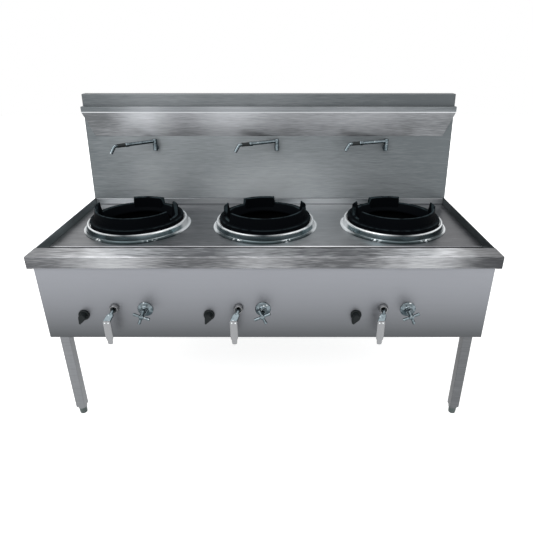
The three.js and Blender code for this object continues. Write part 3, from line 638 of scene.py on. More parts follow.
def brushed_sheet(name, dull, bright, level, streak, cloud, roughness=0.36, seed=0.0, shade=None,
                  fold=0.0, metallic=1.0):
    """Stainless sheet brushed along X: fine lines, soft broad patches, a painted level of light and painted
    highlights along its folds.
    """
    made, tree, coords = fresh(name)
    xyz = split(tree, coords)
    lines = grain(tree, coords, BRUSH_LINE, 3.0, seed)
    bands = grain(tree, coords, BRUSH_BAND, 1.0, seed + 7)
    patches = grain(tree, coords, CLOUD, 1.0, seed + 13)
    share = level(tree, xyz)
    for noise, weight in ((lines, LINE_WEIGHT * streak), (bands, BAND_WEIGHT * streak), (patches, cloud)):
        share = plus(tree, share, swing(tree, noise, weight))
    tint = between(tree, plus(tree, share, 0.0, clamp=True), dull, bright)
    # Painted highlight along the folds, where the bend attribute is set.
    highlight_share = times(tree, plus(tree, lines, 0.25), fold, attribute(tree, "bend"))
    tint = between(tree, highlight_share, tint, paint("fold_highlight"))
    if shade:
        tint = shade(tree, xyz, tint)
    rough = ranged(tree, lines, 0.3, 0.7, roughness - 0.05, roughness + 0.07)
    surfaced(tree, tint, rough, metallic, lines, BRUSH_DEPTH)
    return made


SIDE_WALL = (0.0035, 0.009)  # where a side rim's inner wall lies, in from its outer face
SKIN = 0.001  # how far under a face its folds begin


def rim_steel():
    """No. 4 brushed 304 sheet of the rims: painted highlights in front of each burner, painted shade on its
    upright face and its right end.
    """

    def level(tree, xyz):
        return hills(tree, xyz[0], ((-0.573, 0.17, 0.84), (-0.02, 0.15, 0.55), (0.6, 0.17, 0.78)))

    def shade(tree, xyz, tint):
        off = maths(tree, "ABSOLUTE", xyz[0])
        inner = over(tree, HALF_WIDTH - SIDE_WALL[0], off)
        outer = over(tree, off, HALF_WIDTH - SIDE_WALL[1])
        behind = over(tree, xyz[1], RIM_FACE_Y + sizes().sheet.front_top + SKIN / 2)
        dark = times(tree, inner, outer, behind, over(tree, TOP_Z - SKIN, xyz[2]))
        # Painted shade on the side rims' inner walls.
        tint = between(tree, dark, tint, paint("wall"))
        # Painted shade over the right end of the top and over the upright face.
        tint = between(tree, times(tree, step(tree, xyz[0], 0.7, 0.86), 0.5), tint, paint("rim_shade"))
        face = over(tree, RIM_FACE_Y + SKIN * 1.5, xyz[1])
        return between(tree, times(tree, face, 0.6), tint, paint("rim_shade"))

    return brushed_sheet("brushed_rim_steel", paint("rim_dull"), paint("rim_highlight"), level, 0.75, 0.25,
                         shade=shade, fold=0.3)


# Heights over the deck between which its upstand grows light, and where the shade of its lower
# fold comes and goes; then how far the upper fold reaches down and where the lip begins.
UPSTAND_RISE = (0.001, 0.004)
FOLD_FROM, FOLD_TO = (0.0003, 0.001), (0.006, 0.003)
FOLD_DEPTH = 0.003
LIP_DROP = 0.0045


def deck_steel():
    """No. 4 brushed 304 sheet of the deck: fainter painted highlights, finer contrast, and a painted lighter
    upstand.
    """

    def level(tree, xyz):
        return hills(tree, xyz[0], ((-0.9, 0.34, 0.22), (0.22, 0.3, 0.8), (-0.25, 0.2, 0.14)))

    def shade(tree, xyz, tint):
        # Painted light: the upstand, facing the room, is painted lighter than the deck in front of it, with
        # painted highlights along it.
        x, z, deck = xyz[0], xyz[2], deck_z()
        shine = hills(tree, x, ((-0.62, 0.16, 0.75), (0.3, 0.5, 0.2), (-0.86, 0.1, 0.3), (0.85, 0.15, 0.2)))
        pale = between(tree, plus(tree, shine, 0.45), (0.0, 0.0, 0.0, 1.0), paint("upstand"))
        tint = between(tree, step(tree, z, *(deck + height for height in UPSTAND_RISE)), tint, pale)
        # Its two folds and the lip over the gutter lie in shadow.
        start, stop = (step(tree, z, *(deck + height for height in run)) for run in (FOLD_FROM, FOLD_TO))
        folds = maths(tree, "MAXIMUM", over(tree, z, TOP_Z - FOLD_DEPTH), times(tree, start, stop))
        dark = maths(tree, "MAXIMUM", folds, over(tree, deck - LIP_DROP, z))
        return between(tree, times(tree, dark, 0.85), tint, paint("fold_shade"))

    return brushed_sheet("brushed_deck_steel", paint("deck_dull"), paint("deck_highlight"), level, 0.26, 0.15,
                         seed=3.0, shade=shade, fold=0.12)


def splash_steel():
    """No. 4 brushed 304 sheet of the splashback: cloudy, with painted highlights brighter low down, dull at the
    ends, and painted shade above the cover.
    """

    def level(tree, xyz):
        across = hills(tree, xyz[0], ((-0.55, 0.28, 0.36), (-0.1, 0.22, 0.26), (0.2, 0.34, 0.14)))
        foot = hills(tree, xyz[0], ((0.02, 0.3, 0.75), (-0.6, 0.1, 0.35), (0.55, 0.3, 0.3)))
        return plus(tree, across, times(tree, step(tree, xyz[2], 1.1, 0.8), foot))

    def shade(tree, xyz, tint):
        # Painted shade over the strip above the cover.
        above = over(tree, xyz[2], COVER[1].z)
        return between(tree, times(tree, above, 0.3), tint, paint("rim_shade"))

    return brushed_sheet("brushed_splashback_steel", paint("splash_dull"), paint("splash_highlight"), level,
                         0.3, 0.35, 0.45, 11.0, shade, metallic=0.55)


def cover_steel():
    """Brushed 304 sheet of the duct cover: painted highlights on its slope, painted shade on its upright lip and a
    painted highlight along its fold.
    """

    def level(tree, xyz):
        places = ((-0.59, 0.13, 0.78), (-0.2, 0.22, 0.74), (0.15, 0.2, 0.25), (0.5, 0.3, 0.45))
        return hills(tree, xyz[0], places)

    def shade(tree, xyz, tint):
        fold = COVER[1].z - sizes().sheet.cover_lip
        # Painted shade on the upright lip.
        upright = times(tree, over(tree, xyz[2], fold + 0.002), 0.55)
        tint = between(tree, upright, tint, paint("splash_dull"))
        # Painted highlight along the fold under the lip.
        line = step(tree, maths(tree, "ABSOLUTE", minus(tree, xyz[2], fold)), 0.0028, 0.0014)
        return between(tree, times(tree, line, 0.8), tint, paint("fold_highlight"))

    return brushed_sheet("brushed_cover_steel", paint("cover_dull"), paint("cover_highlight"), level, 0.35, 0.3,
                         seed=23.0, shade=shade)


def panel_steel():
    """Fine-grained 304 sheet of the cabinet: painted light paler under the rim, painted shade darker to the floor.
    """

    def level(tree, xyz):
        down = ranged(tree, xyz[2], PANEL[1].z - 0.01, BODY_BOTTOM_Z)
        return minus(tree, 1.0, maths(tree, "POWER", down, 1.7))

    return brushed_sheet("fine_panel_steel", paint("panel_shade"), paint("panel_light"), level, 0.06, 0.04,
                         0.42, 31.0)


def leg_steel():
    """Brushed square tube: the grain runs round the tube; painted light makes it lighter to the left, painted
    shade darker to the right.
    """

    def level(tree, xyz):
        return minus(tree, 0.52, times(tree, xyz[0], 0.45))

    return brushed_sheet("brushed_leg_tube", paint("leg", 0.45), paint("leg", 0.82), level, 0.5, 0.1,
                         0.4, 41.0)


COLLAR_FOOT = (0.006, 0.0095)  # heights over the deck between which the foot gives way to the wall
COLLAR_ROLL = (0.0065, 0.0085)  # depths under the top between which the roll gives way to the wall


def spun_steel():
    """Spun and polished 304 of the collars, with painted reflections: the dark ring in front, the room at the
    sides.
    """
    low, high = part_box("burner_collar_left")
    made, tree, coords = fresh("spun_polished_steel")
    z = split(tree, coords)[2]
    across = attribute(tree, "across")
    side = maths(tree, "ABSOLUTE", across)
    spin = grain(tree, coords, (0.5, 0.5, 0.0012))
    sway = swing(tree, spin, 0.25)

    # The roll: a painted dark reflection in front, painted white at the sides.
    bright = plus(tree, step(tree, side, -0.05, 0.72), sway, clamp=True)
    roll = between(tree, bright, paint("roll"), paint("polish"))

    # The upright wall: painted shade, with a painted patch of light to each side of the front and painted white at
    # the sides.
    places = ((-0.42, 0.16, 0.9), (0.4, 0.16, 0.75), (0.86, 0.08, 0.5), (-0.86, 0.08, 0.5))
    patches = plus(tree, hills(tree, across, places), sway, clamp=True)
    wall = between(tree, patches, paint("polish_shade"), paint("wall_patch"))
    wall = between(tree, step(tree, side, 0.93, 0.98), wall, paint("polish"))

    # The flared foot: painted white at the sides, painted sparkles beside the front, elsewhere painted shade as
    # dull as the deck.
    painted_sparkles = step(tree, grain(tree, coords, (0.012, 0.012, 0.02), 1.0, 9.0), 0.5, 0.62)
    painted_sparkles = times(tree, painted_sparkles, hills(tree, across, ((-0.5, 0.08, 1.0), (0.45, 0.08, 1.0))))
    painted_sparkles = times(tree, painted_sparkles, over(tree, attribute(tree, "front"), 0.2))
    lit = plus(tree, maths(tree, "MAXIMUM", step(tree, side, 0.8, 0.95), painted_sparkles), 0.0, clamp=True)
    foot = between(tree, lit, paint("collar_foot_shade"), paint("polish"))

    above = step(tree, z, *(low.z + height for height in COLLAR_FOOT))
    below = step(tree, z, *(high.z - depth for depth in COLLAR_ROLL))
    tint = between(tree, above, foot, roll)
    tint = between(tree, times(tree, above, below), tint, wall)
    # Its painted white ends throw the room's light back softly.
    metallic = minus(tree, 1.0, times(tree, step(tree, side, 0.85, 0.95), 0.7))
    surfaced(tree, tint, 0.18, metallic, spin, 0.00005)
    return made


def cast_iron():
    """Sand-cast iron, oiled black: a fine pebbled skin, with a grey painted highlight along its edges."""
    made, tree, coords = fresh("oiled_cast_iron")
    pebble = grain(tree, coords, 0.0016)
    # A noise breaks the painted edge highlight into patches.
    soot = step(tree, grain(tree, coords, 0.03, 2.0, 4.0), 0.3, 0.6)
    rub = times(tree, attribute(tree, "rub"), soot)
    tint = between(tree, rub, paint("iron"), paint("iron_highlight"))
    surfaced(tree, tint, 0.66, 0.0, pebble, 0.0004, Specular_IOR_Level=0.02)
    return made


ROOM = (0.05, -0.85, 0.52)  # the way to the lit side of the room


def chrome_plate():
    """Chrome plate over cast brass, with painted reflections: light where it faces the room, painted shade at its
    edges, painted highlights.
    """
    made, tree, coords = fresh("chrome_plate")
    normal = add(tree, "ShaderNodeNewGeometry").outputs["Normal"]
    room = add(tree, "ShaderNodeVectorMath", {0: normal, 1: ROOM}, operation="DOT_PRODUCT").outputs["Value"]
    smear_and_sheen = grain(tree, coords, 0.009)
    facing = plus(tree, maths(tree, "ABSOLUTE", room), swing(tree, smear_and_sheen, 0.7))
    # Painted reflections by the way each face turns; the smear noise roughens the plate and breaks them up.
    tint = between(tree, step(tree, facing, 0.6, 0.95), paint("chrome_shade"), paint("chrome"))
    tint = between(tree, step(tree, facing, 1.02, 1.12), tint, paint("polish"))
    surfaced(tree, tint, plus(tree, 0.16, times(tree, smear_and_sheen, 0.08)), 1.0)
    return made


def mottled(name, colour, shares, scale, roughness, metallic, depth, detail=3.0, uneven=0.0, **settings):
    """A plain finish whose colour wanders between two shares of itself."""
    made, tree, coords = fresh(name)
    mottle = grain(tree, coords, scale, detail)
    tint = between(tree, mottle, *(paint(colour, share) for share in shares))
    if uneven:
        roughness = plus(tree, roughness, times(tree, mottle, uneven))
    surfaced(tree, tint, roughness, metallic, mottle, depth, **settings)
    return made


def moulded(name, colour, roughness, depth, specular):
    """A moulded part: slightly mottled skin with a fine texture."""
    made, tree, coords = fresh(name)
    skin = grain(tree, coords, 0.0012)
    mottle = grain(tree, coords, 0.012, 2.0, 2.0)
    tint = between(tree, mottle, paint(colour), paint(colour, 1.9))
    rough = plus(tree, roughness, times(tree, mottle, 0.12))
    surfaced(tree, tint, rough, 0.0, skin, depth, Specular_IOR_Level=specular)
    return made


def plain_metal(name, colour, roughness):
    """Drawn brass or plated steel: lightly tarnished in patches."""
    return mottled(name, colour, (0.6, 1.0), 0.02, roughness, 1.0, 0.0001, uneven=0.2)


MAKERS = {
    "rim": rim_steel,
    "deck": deck_steel,
    "splash": splash_steel,
    "cover": cover_steel,
    "panel": panel_steel,
    "leg": leg_steel,
    "collar": spun_steel,
    "iron": cast_iron,
    "chrome": chrome_plate,
    # 2B mill-finish sheet, unbrushed: dull and slightly mottled, darkened as painted shade for the gutter.
    "mill": lambda: mottled("mill_finish_steel", "mill", (0.62, 1.0), 0.04, 0.5, 1.0, 0.0002),
    # Welded 304 sheet, sooted by the flame and painted near black as the shade inside the chamber, with a faint
    # mottle.
    "soot": lambda: mottled(
        "sooted_steel", "soot", (1.0, 2.2), 0.03, 0.85, 0.0, 0.0003, Specular_IOR_Level=0.03
    ),
    # Satin nickel-plated zinc of the lever handles: soft sheen, fine grain along the length.
    "satin": lambda: mottled(
        "satin_casting", "handle", (0.72, 1.0), (0.0015, 0.0015, 0.05), 0.38, 1.0, 0.0001, detail=2.0
    ),
    # Phenolic moulding, semi-gloss from its polished mould.
    "knob": lambda: moulded("phenolic_moulding", "bakelite", 0.4, 0.00005, 0.15),
    # Extruded nitrile rubber, matt.
    "rubber": lambda: moulded("nitrile_rubber", "rubber", 0.5, 0.0001, 0.3),
    # Glass-filled nylon, with the grain of its fibres.
    "nylon": lambda: moulded("glass_filled_nylon", "nylon", 0.48, 0.0001, 0.4),
    # Turned steel inside the lever cups, darkened as painted shade.
    "recess": lambda: moulded("greased_steel", "recess", 0.6, 0.0001, 0.2),
    "brass": lambda: plain_metal("drawn_brass", "brass", 0.25),
    # Bright polish of the lever pins, a painted highlight.
    "pin": lambda: plain_metal("polished_pin", "polish", 0.15),
    "zinc": lambda: plain_metal("zinc_plate", "zinc", 0.3),
}
made_materials = {}


def material(kind):
    """The finish of a kind, made the first time it is asked for."""
    if kind not in made_materials:
        made_materials[kind] = MAKERS[kind]()
    return made_materials[kind]


# ---- The top ----
DRILL = 0.02  # how far a cutter stands out of the sheet on both sides


def deck_z():
    """The deck's upper face."""
    return DECK[0].z + sizes().sheet.deck_lip


def plug(centre, radius, low, high, sides=96, axis="Z"):
    """A cutter for a round hole."""
    return turned("plug", [(0, low), (radius, low), (radius, high), (0, high)], centre, sides, axis)


def burner_places():
    """The middles of the three burners."""
    return [middle("burner_collar_" + side).xy for side in SIDES]


def front_rim():
    """The front rim: one folded sheet with welded ends."""
    s = sizes().sheet
    t = s.thickness
    bottom, back = RIM[0].z, RIM_FACE_Y + s.front_top
    line = [(PANEL_Y + 2 * t, bottom), (RIM_FACE_Y, bottom), (RIM_FACE_Y, TOP_Z), (back, TOP_Z)]
    line.append((back, TOP_Z - s.front_drop))
    rim = straight_sheet("front_rim_sheet", line, s.bend, -HALF_WIDTH, HALF_WIDTH)
    shape = outline(rectangle(RIM_FACE_Y, bottom, back, TOP_Z), s.bend + t)
    closings = [slab("rim_end", shape, along_x, x, x + t) for x in (-HALF_WIDTH, HALF_WIDTH - t)]
    for x in (-HALF_WIDTH, BODY_HALF - t):
        under = rectangle(x, RIM_FACE_Y, x + HALF_WIDTH - BODY_HALF + t, back)
        closings.append(slab("rim_underside", under, along_z, bottom, bottom + t))
    united(rim, *closings)
    finished(rim, "cabinet", "top_rim", "rim", s.edge)


def deck_plate():
    """The lowered deck: rounded front edge, burner holes, rear upstand."""
    s = sizes().sheet
    z = deck_z()
    upstand = DECK[1].y - s.upstand_fold
    line = [(DECK[0].y, DECK[0].z), (DECK[0].y, z), (upstand, z), (upstand, TOP_Z), (DECK[1].y, TOP_Z)]
    # The front edge has a wider bend than the folds of the upstand.
    front = folded(line[:3], s.thickness, s.deck_edge - s.thickness, 7)
    back = [(outer, inner, 0.0) for outer, inner, _ in folded(line[1:], s.thickness, s.bend)]
    skins = front[:-1] + back[1:]
    plate = sheet("deck_plate", [(skins, along_x(DECK[0].x)), (skins, along_x(DECK[1].x))])
    sides = sizes().burner.sides
    drilled(plate, [plug((*at, 0), s.deck_hole, z - DRILL, z + DRILL, sides) for at in burner_places()])
    finished(plate, "cabinet", "deck", "deck", s.edge)


def gutter():
    """The sunk gutter with its round corners, closed at both ends, and its drain."""
    s = sizes().sheet
    t = s.thickness
    low, high = TROUGH
    back_top = deck_z() - s.deck_edge
    line = [(high.y, back_top), (high.y, low.z), (low.y, low.z), (low.y, high.z)]
    trough = straight_sheet("gutter_channel", line, s.gutter_corner, low.x, high.x)
    rim = outline(rectangle(low.y, low.z, high.y, DECK[0].z - FIT), s.gutter_corner + t)
    united(trough, *(slab("gutter_end", rim, along_x, x, x + t) for x in (low.x, high.x - t)))
    at = (*middle("drain_outlet").xy, 0)
    bore = (DRAIN[1].x - DRAIN[0].x) / 2 - 2 * t
    drilled(trough, [plug(at, bore, low.z - DRILL, low.z + DRILL, 64)])
    finished(trough, "cabinet", "gutter_trough", "mill", s.edge)

    flange = (DRAIN[1].y - DRAIN[0].y) / 2
    pipe = flange - 3 * t
    inside = pipe - 2 * t
    foot, top = DRAIN[0].z, DRAIN[1].z
    profile = [(inside, foot), (pipe, foot), (pipe, top - t), (flange, top - t), (flange, top), (inside, top)]
    outlet = turned("drain_pipe", outline(profile, 0.0009, 3), at, 64)
    finished(outlet, "cabinet", "drain_outlet", "leg")


# ---- The cabinet ----
CONTROL_HOLES = (("knob_", 0.006), ("lever_boss_", 0.007), ("tap_escutcheon_", 0.007))
HANDS = (("left", -1), ("right", 1))


def front_panel():
    """The front panel: hemmed under the rim, folded back at its foot, drilled for the controls."""
    s = sizes().sheet
    hem_y, hem_z = PANEL_Y - s.hem_step, PANEL[1].z - s.hem_height
    line = [
        (PANEL_Y + s.panel_return, BODY_BOTTOM_Z),
        (PANEL_Y, BODY_BOTTOM_Z),
        (PANEL_Y, hem_z - s.hem_step),
        (hem_y, hem_z),
        (hem_y, PANEL[1].z),
    ]
    panel = straight_sheet("front_panel_sheet", line, s.bend / 2, PANEL[0].x, PANEL[1].x)
    holes = []
    for side in SIDES:
        for node, radius in CONTROL_HOLES:
            at = axis_of(node + side)
            holes.append(plug((at.x, PANEL_Y, at.z), radius, -DRILL / 2, DRILL / 2, 32, "Y"))
    drilled(panel, holes)
    finished(panel, "cabinet", "front_panel", "panel", s.edge)


def axis_of(node):
    """The axis of a control: its joint's place, or the middle of a round node."""
    for joint in frame["joints"]:
        if joint["child"] == node:
            return Vector(joint["pos_m"])
    return middle(node)


def side_panels():
    """The two side panels, folded in at the foot, and the side rims welded on top of them."""
    s = sizes().sheet
    t = s.thickness
    low, high = SIDE_PANEL
    bottom = RIM[0].z
    line = [(BODY_HALF, bottom - FIT), (BODY_HALF, low.z), (BODY_HALF - s.panel_return + t, low.z)]
    # The rim's line runs from its inner wall over its top to the panel.
    top = HALF_WIDTH - s.side_top
    rim_line = [(top - s.side_lean, deck_z() - 2 * t), (top, TOP_Z), (HALF_WIDTH, TOP_Z)]
    rim_line += [(HALF_WIDTH, bottom), (BODY_HALF - t, bottom)]
    start = RIM_FACE_Y + s.front_top + FIT
    parts = (("side_sheet_", line, s.bend, low.y, high.y, "panel"),
             ("side_rim_", rim_line, s.bend / 2, start, SPLASH_Y, "rim"))
    for side, hand in HANDS:
        for name, run, bend, near, far, kind in parts:
            made = straight_sheet(name + side, run, bend, near, far, lambda y: along_y(y, hand))
            finished(made, "cabinet", "side_panel_" + side, kind, s.edge)


SCREW_HEAD = 0.0012  # how far the screws stand out of the rear panel
PIPE_ENDS = {"gas_manifold": ("gas_inlet", 0.017), "water_manifold": ("water_inlet", 0.011)}


def rear_panel():
    """The rear panel, with holes for the two pipes, set in by the height of its screws."""
    s = sizes().sheet
    back = REAR[1].y - SCREW_HEAD
    shoulder = RIM[0].z
    half = [(BODY_HALF, shoulder), (HALF_WIDTH, shoulder), (HALF_WIDTH, REAR[1].z)]
    corners = [(-BODY_HALF, BODY_BOTTOM_Z), (BODY_HALF, BODY_BOTTOM_Z), *half]
    corners += [(-x, z) for x, z in reversed(half)]
    panel = slab("rear_sheet", outline(corners, 0.0015, 3), along_y, back - s.thickness / 2, back)
    holes = []
    for mount, radius in PIPE_ENDS.values():
        x, _, z = mount_place(mount)
        holes.append(plug((x, back, z), radius + 0.001, -DRILL / 2, DRILL / 2, 48, "Y"))
    drilled(panel, holes)
    finished(panel, "cabinet", "rear_panel", "splash", s.edge)


def mount_place(name):
    """Where the record puts a mount."""
    for mount in frame["record"]["mounts"]:
        if mount["name"] == name:
            return mount["pos_m"]
    raise RuntimeError("the record has no mount named " + name)


DRAIN_HOLE = 0.019
NOTCH_SHARE = 1.015  # the pan's notches, by the size of the legs


def base_pan():
    """The cabinet's floor: notched for the legs, with air holes under the burners."""
    s = sizes().sheet
    low, high = PAN
    pan = slab("pan_sheet", rectangle(low.x, low.y, high.x, high.y), along_z, low.z, high.z)
    under, above = low.z - DRILL, high.z + DRILL
    holes = [plug((*at, 0), s.air_hole, under, above) for at in burner_places()]
    holes.append(plug((*middle("drain_outlet").xy, 0), DRAIN_HOLE, under, above, 48))
    for corner in CORNERS:
        (x0, y0, _), (x1, y1, _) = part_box("leg_" + corner)
        x, y, _ = middle("leg_" + corner)
        wide, deep = (x1 - x0) / 2 * NOTCH_SHARE, (y1 - y0) / 2 * NOTCH_SHARE
        notch = rectangle(x - wide, y - deep, x + wide, y + deep)
        holes.append(slab("notch", notch, along_z, under, above))
    drilled(pan, holes)
    finished(pan, "cabinet", "base_pan", "mill", s.edge)


LEG_CORNER = 0.004
LEG_WALL = 0.002
STEM_HOLE = 0.009
CUP_HEIGHT = 0.010
THREAD_PITCH = 0.00175


def legs_and_feet():
    """Four square tubes with a plate for the foot's stem, and the four levelling feet."""
    for corner in CORNERS:
        leg, foot = "leg_" + corner, "foot_" + corner
        low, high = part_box(leg)
        outer = (high.x - low.x) / 2
        inner = outer - LEG_WALL
        centre = middle(leg)
        plate, plate_top = low.z + LEG_WALL, low.z + 2 * LEG_WALL
        stops = (
            (outer, LEG_CORNER, high.z),
            (outer, LEG_CORNER, low.z),
            (inner, LEG_CORNER - LEG_WALL, low.z),
            (inner, LEG_CORNER - LEG_WALL, plate),
            (STEM_HOLE, STEM_HOLE * 0.98, plate),
            (STEM_HOLE, STEM_HOLE * 0.98, plate_top),
            (inner, LEG_CORNER - LEG_WALL, plate_top),
            (inner, LEG_CORNER - LEG_WALL, high.z),
        )
        rings = []
        for reach, radius, z in stops:
            shape = outline(rectangle(-reach, -reach, reach, reach), radius, 4)
            rings.append([along_z(z, centre.xy)(p) for p in shape])
        finished(loft("leg_tube_" + corner, rings, around=True), "cabinet", leg, "leg", 0.0003)

        top = low.z - FIT
        parts = (("levelling_foot_", foot_body(top - CUP_HEIGHT), "nylon"),
                 ("foot_cup_", foot_cup(top - CUP_HEIGHT, top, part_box(foot)[1].z), "leg"))
        for name, profile, kind in parts:
            finished(turned(name + corner, profile, (*centre.xy, 0), 64), foot, foot, kind)


def foot_body(top):
    """A moulded foot that tapers to its base."""
    corners = [(0.004, 0), (0.013, 0), (0.015, 0.002), (0.017, top), (0.004, top)]
    return [(0, 0)] + [p for p in outline(corners, 0.0012, 3) if p[0] > 0.0041] + [(0, top)]


def foot_cup(bottom, top, stem_top):
    """The steel cup that holds the foot, and its threaded stem."""
    cup = [p for p in outline(rectangle(0.012, bottom, 0.019, top), 0.0008, 3) if p[0] > 0.0121]
    thread = []
    for i in range(int((stem_top - top) / THREAD_PITCH) - 1):
        z = top + (i + 0.2) * THREAD_PITCH
        thread += [(0.0072, z), (0.008, z + THREAD_PITCH / 2)]
    return [(0, bottom)] + cup + thread + [(0.0066, stem_top), (0, stem_top)]


# ---- The splashback ----
FEED_HOLE = 0.010  # for each spout's inlet


def splash_y(z):
    """The splashback's face at a height."""
    return SPLASH_Y + (z - TOP_Z) * sizes().sheet.splash_lean / (SPLASH_TOP_Z - TOP_Z)


def splashback():
    """The leaning sheet with its folded top, and the plates that close its ends."""
    s = sizes().sheet
    t = s.thickness
    top, back, face = SPLASH_TOP_Z, SPLASH[1].y, SPLASH_Y + FIT
    line = [(splash_y(SPLASH[0].z), SPLASH[0].z), (splash_y(top), top), (back, top)]
    wall = straight_sheet("splashback_wall", line, s.bend, SPLASH[0].x, SPLASH[1].x)
    feeds = [(middle("spout_pillar_" + side).x, SPLASH_Y, spout_feed_z(side)) for side in SIDES]
    drilled(wall, [plug(feed, FEED_HOLE, 0.0, 0.06, 48, "Y") for feed in feeds])
    finished(wall, "cabinet", "splashback_sheet", "splash", s.edge)

    bottom = RIM[0].z
    shape = [(face, bottom), (back, bottom), (back, top), (splash_y(top), top), (face, TOP_Z)]
    for side, hand in HANDS:
        plate = slab("splash_end_" + side, shape, along_x, hand * HALF_WIDTH, hand * (HALF_WIDTH - t))
        under = rectangle(face, bottom, back, bottom + t)
        shelf = slab("shelf", under, along_x, hand * (HALF_WIDTH - t / 2), hand * (BODY_HALF - t))
        united(plate, shelf)
        finished(plate, "cabinet", "splashback_cap_" + side, "splash", 0.0006, 3)


def hipped(name, half, hip, face_y, top, fold, foot, behind):
    """A closed hood on the splashback: an upright lip over a slope with drawn-in lower corners."""
    shell = bmesh.new()
    rows = []
    for hand in (-1, 1):
        row = [
            (hand * half, splash_y(top) + behind, top),
            (hand * half, face_y, top),
            (hand * half, face_y, fold),
            (hand * (half - hip), splash_y(foot) + behind, foot),
            (hand * half, splash_y(fold) + behind, fold),
        ]
        rows.append([shell.verts.new(point) for point in row])
    left, right = rows
    for i, j in ((0, 1), (1, 2), (2, 3)):
        shell.faces.new((left[i], right[i], right[j], left[j]))
    for row in rows:
        shell.faces.new((row[0], row[1], row[2], row[4]))
        shell.faces.new((row[4], row[2], row[3]))
    shell.faces.new((left[0], left[4], left[3], right[3], right[4], right[0]))
    return piece(name, shell)


def duct_cover():
    """The cover over the flue, with softened folds, hollow behind."""
    s = sizes().sheet
    t = s.thickness
    top, foot, lip_y = COVER[1].z, COVER[0].z, COVER[0].y
    fold = top - s.cover_lip
    cover = hipped("flue_cover", HALF_WIDTH, s.cover_hip, lip_y, top, fold, foot, -FIT)
    hollow = hipped(
        "hollow", HALF_WIDTH - t, s.cover_hip, lip_y + t, top - t, fold, foot + 4 * t, s.cover_hip
    )
    drilled(softened(cover, s.bend, 4, math.radians(20)), [hollow])
    finished(cover, "cabinet", "duct_cover", "cover")


# ---- Geometry nodes: what repeats along a path ----
PATH_SOCKETS = (("Path", "Geometry"), ("Template", "Object"), ("Spacing", "Float"), ("Finish", "Material"))


def repeated(name, path, template, spacing, finish):
    """Copies of a template along a path of edges, as one plain mesh."""
    tree = bpy.data.node_groups.new(name + "_tree", "GeometryNodeTree")
    face = tree.interface
    for socket, kind in PATH_SOCKETS:
        face.new_socket(socket, in_out="INPUT", socket_type="NodeSocket" + kind)
    face.new_socket("Geometry", in_out="OUTPUT", socket_type="NodeSocketGeometry")
    given = add(tree, "NodeGroupInput").outputs
    curve = add(tree, "GeometryNodeMeshToCurve", {"Mesh": given["Path"]}).outputs[0]
    spread = {"Curve": curve, "Length": given["Spacing"]}
    spaced = add(tree, "GeometryNodeResampleCurve", spread, mode="LENGTH").outputs[0]
    copy = add(tree, "GeometryNodeObjectInfo", {"Object": given["Template"]}).outputs["Geometry"]
    placed = add(tree, "GeometryNodeInstanceOnPoints", {"Points": spaced, "Instance": copy}).outputs[0]
    real = add(tree, "GeometryNodeRealizeInstances", {"Geometry": placed}).outputs[0]
    painted = add(tree, "GeometryNodeSetMaterial", {"Geometry": real, "Material": given["Finish"]})
    add(tree, "NodeGroupOutput", {"Geometry": painted.outputs[0]})

    shell = bmesh.new()
    for line, closed in path:
        points = [shell.verts.new(point) for point in line]
        for i in range(0 if closed else 1, len(points)):
            shell.edges.new((points[i - 1], points[i]))
    made = placed_mesh(name, shell)
    copies = made.modifiers.new("copies", "NODES")
    copies.node_group = tree
    keys = {item.name: item.identifier for item in face.items_tree if item.in_out == "INPUT"}
    copies[keys["Template"]] = template
    copies[keys["Spacing"]] = spacing
    copies[keys["Finish"]] = finish
    applied(made)
    bpy.data.objects.remove(template)
    return made


SCREW_INSET = 0.012  # from the panel's edges
SCREW_SPACING = 0.145
SCREW_PROFILE = (
    (0, -0.0008), (0.004, -0.0008), (0.004, 0.0004), (0.0032, 0.0009), (0.0018, 0.00115), (0, SCREW_HEAD)
)
SLOT = (0.0022, 0.0004)  # half its length and half its width
SLOT_LEVELS = (0.0004, 0.002)


def rear_screws():
    """Pan-head screws round the rear panel."""
    y, shoulder = REAR[1].y - SCREW_HEAD, RIM[0].z
    foot, top = BODY_BOTTOM_Z + SCREW_INSET, REAR[1].z - SCREW_INSET
    runs = []
    for hand in (-1, 1):
        wide, narrow = hand * (HALF_WIDTH - SCREW_INSET), hand * (BODY_HALF - SCREW_INSET)
        runs.append((wide, shoulder + SCREW_INSET, wide, top))
        runs.append((narrow, foot, narrow, shoulder - 2 * SCREW_INSET))
    for half, z in ((HALF_WIDTH, top), (BODY_HALF, foot)):
        across = half - SCREW_INSET - SCREW_SPACING / 2
        runs.append((-across, z, across, z))
    lines = [([(x0, y, z0), (x1, y, z1)], False) for x0, z0, x1, z1 in runs]
    head = turned("screw_head", SCREW_PROFILE, (0, 0, 0), 20, "Y")
    crossed = (SLOT, SLOT[::-1])
    drilled(head, [slab("slot", rectangle(-u, -v, u, v), along_y, *SLOT_LEVELS) for u, v in crossed])
    screws = repeated("rear_screws", lines, head, SCREW_SPACING, material("zinc"))
    finished(screws, "cabinet", "rear_panel", "zinc")


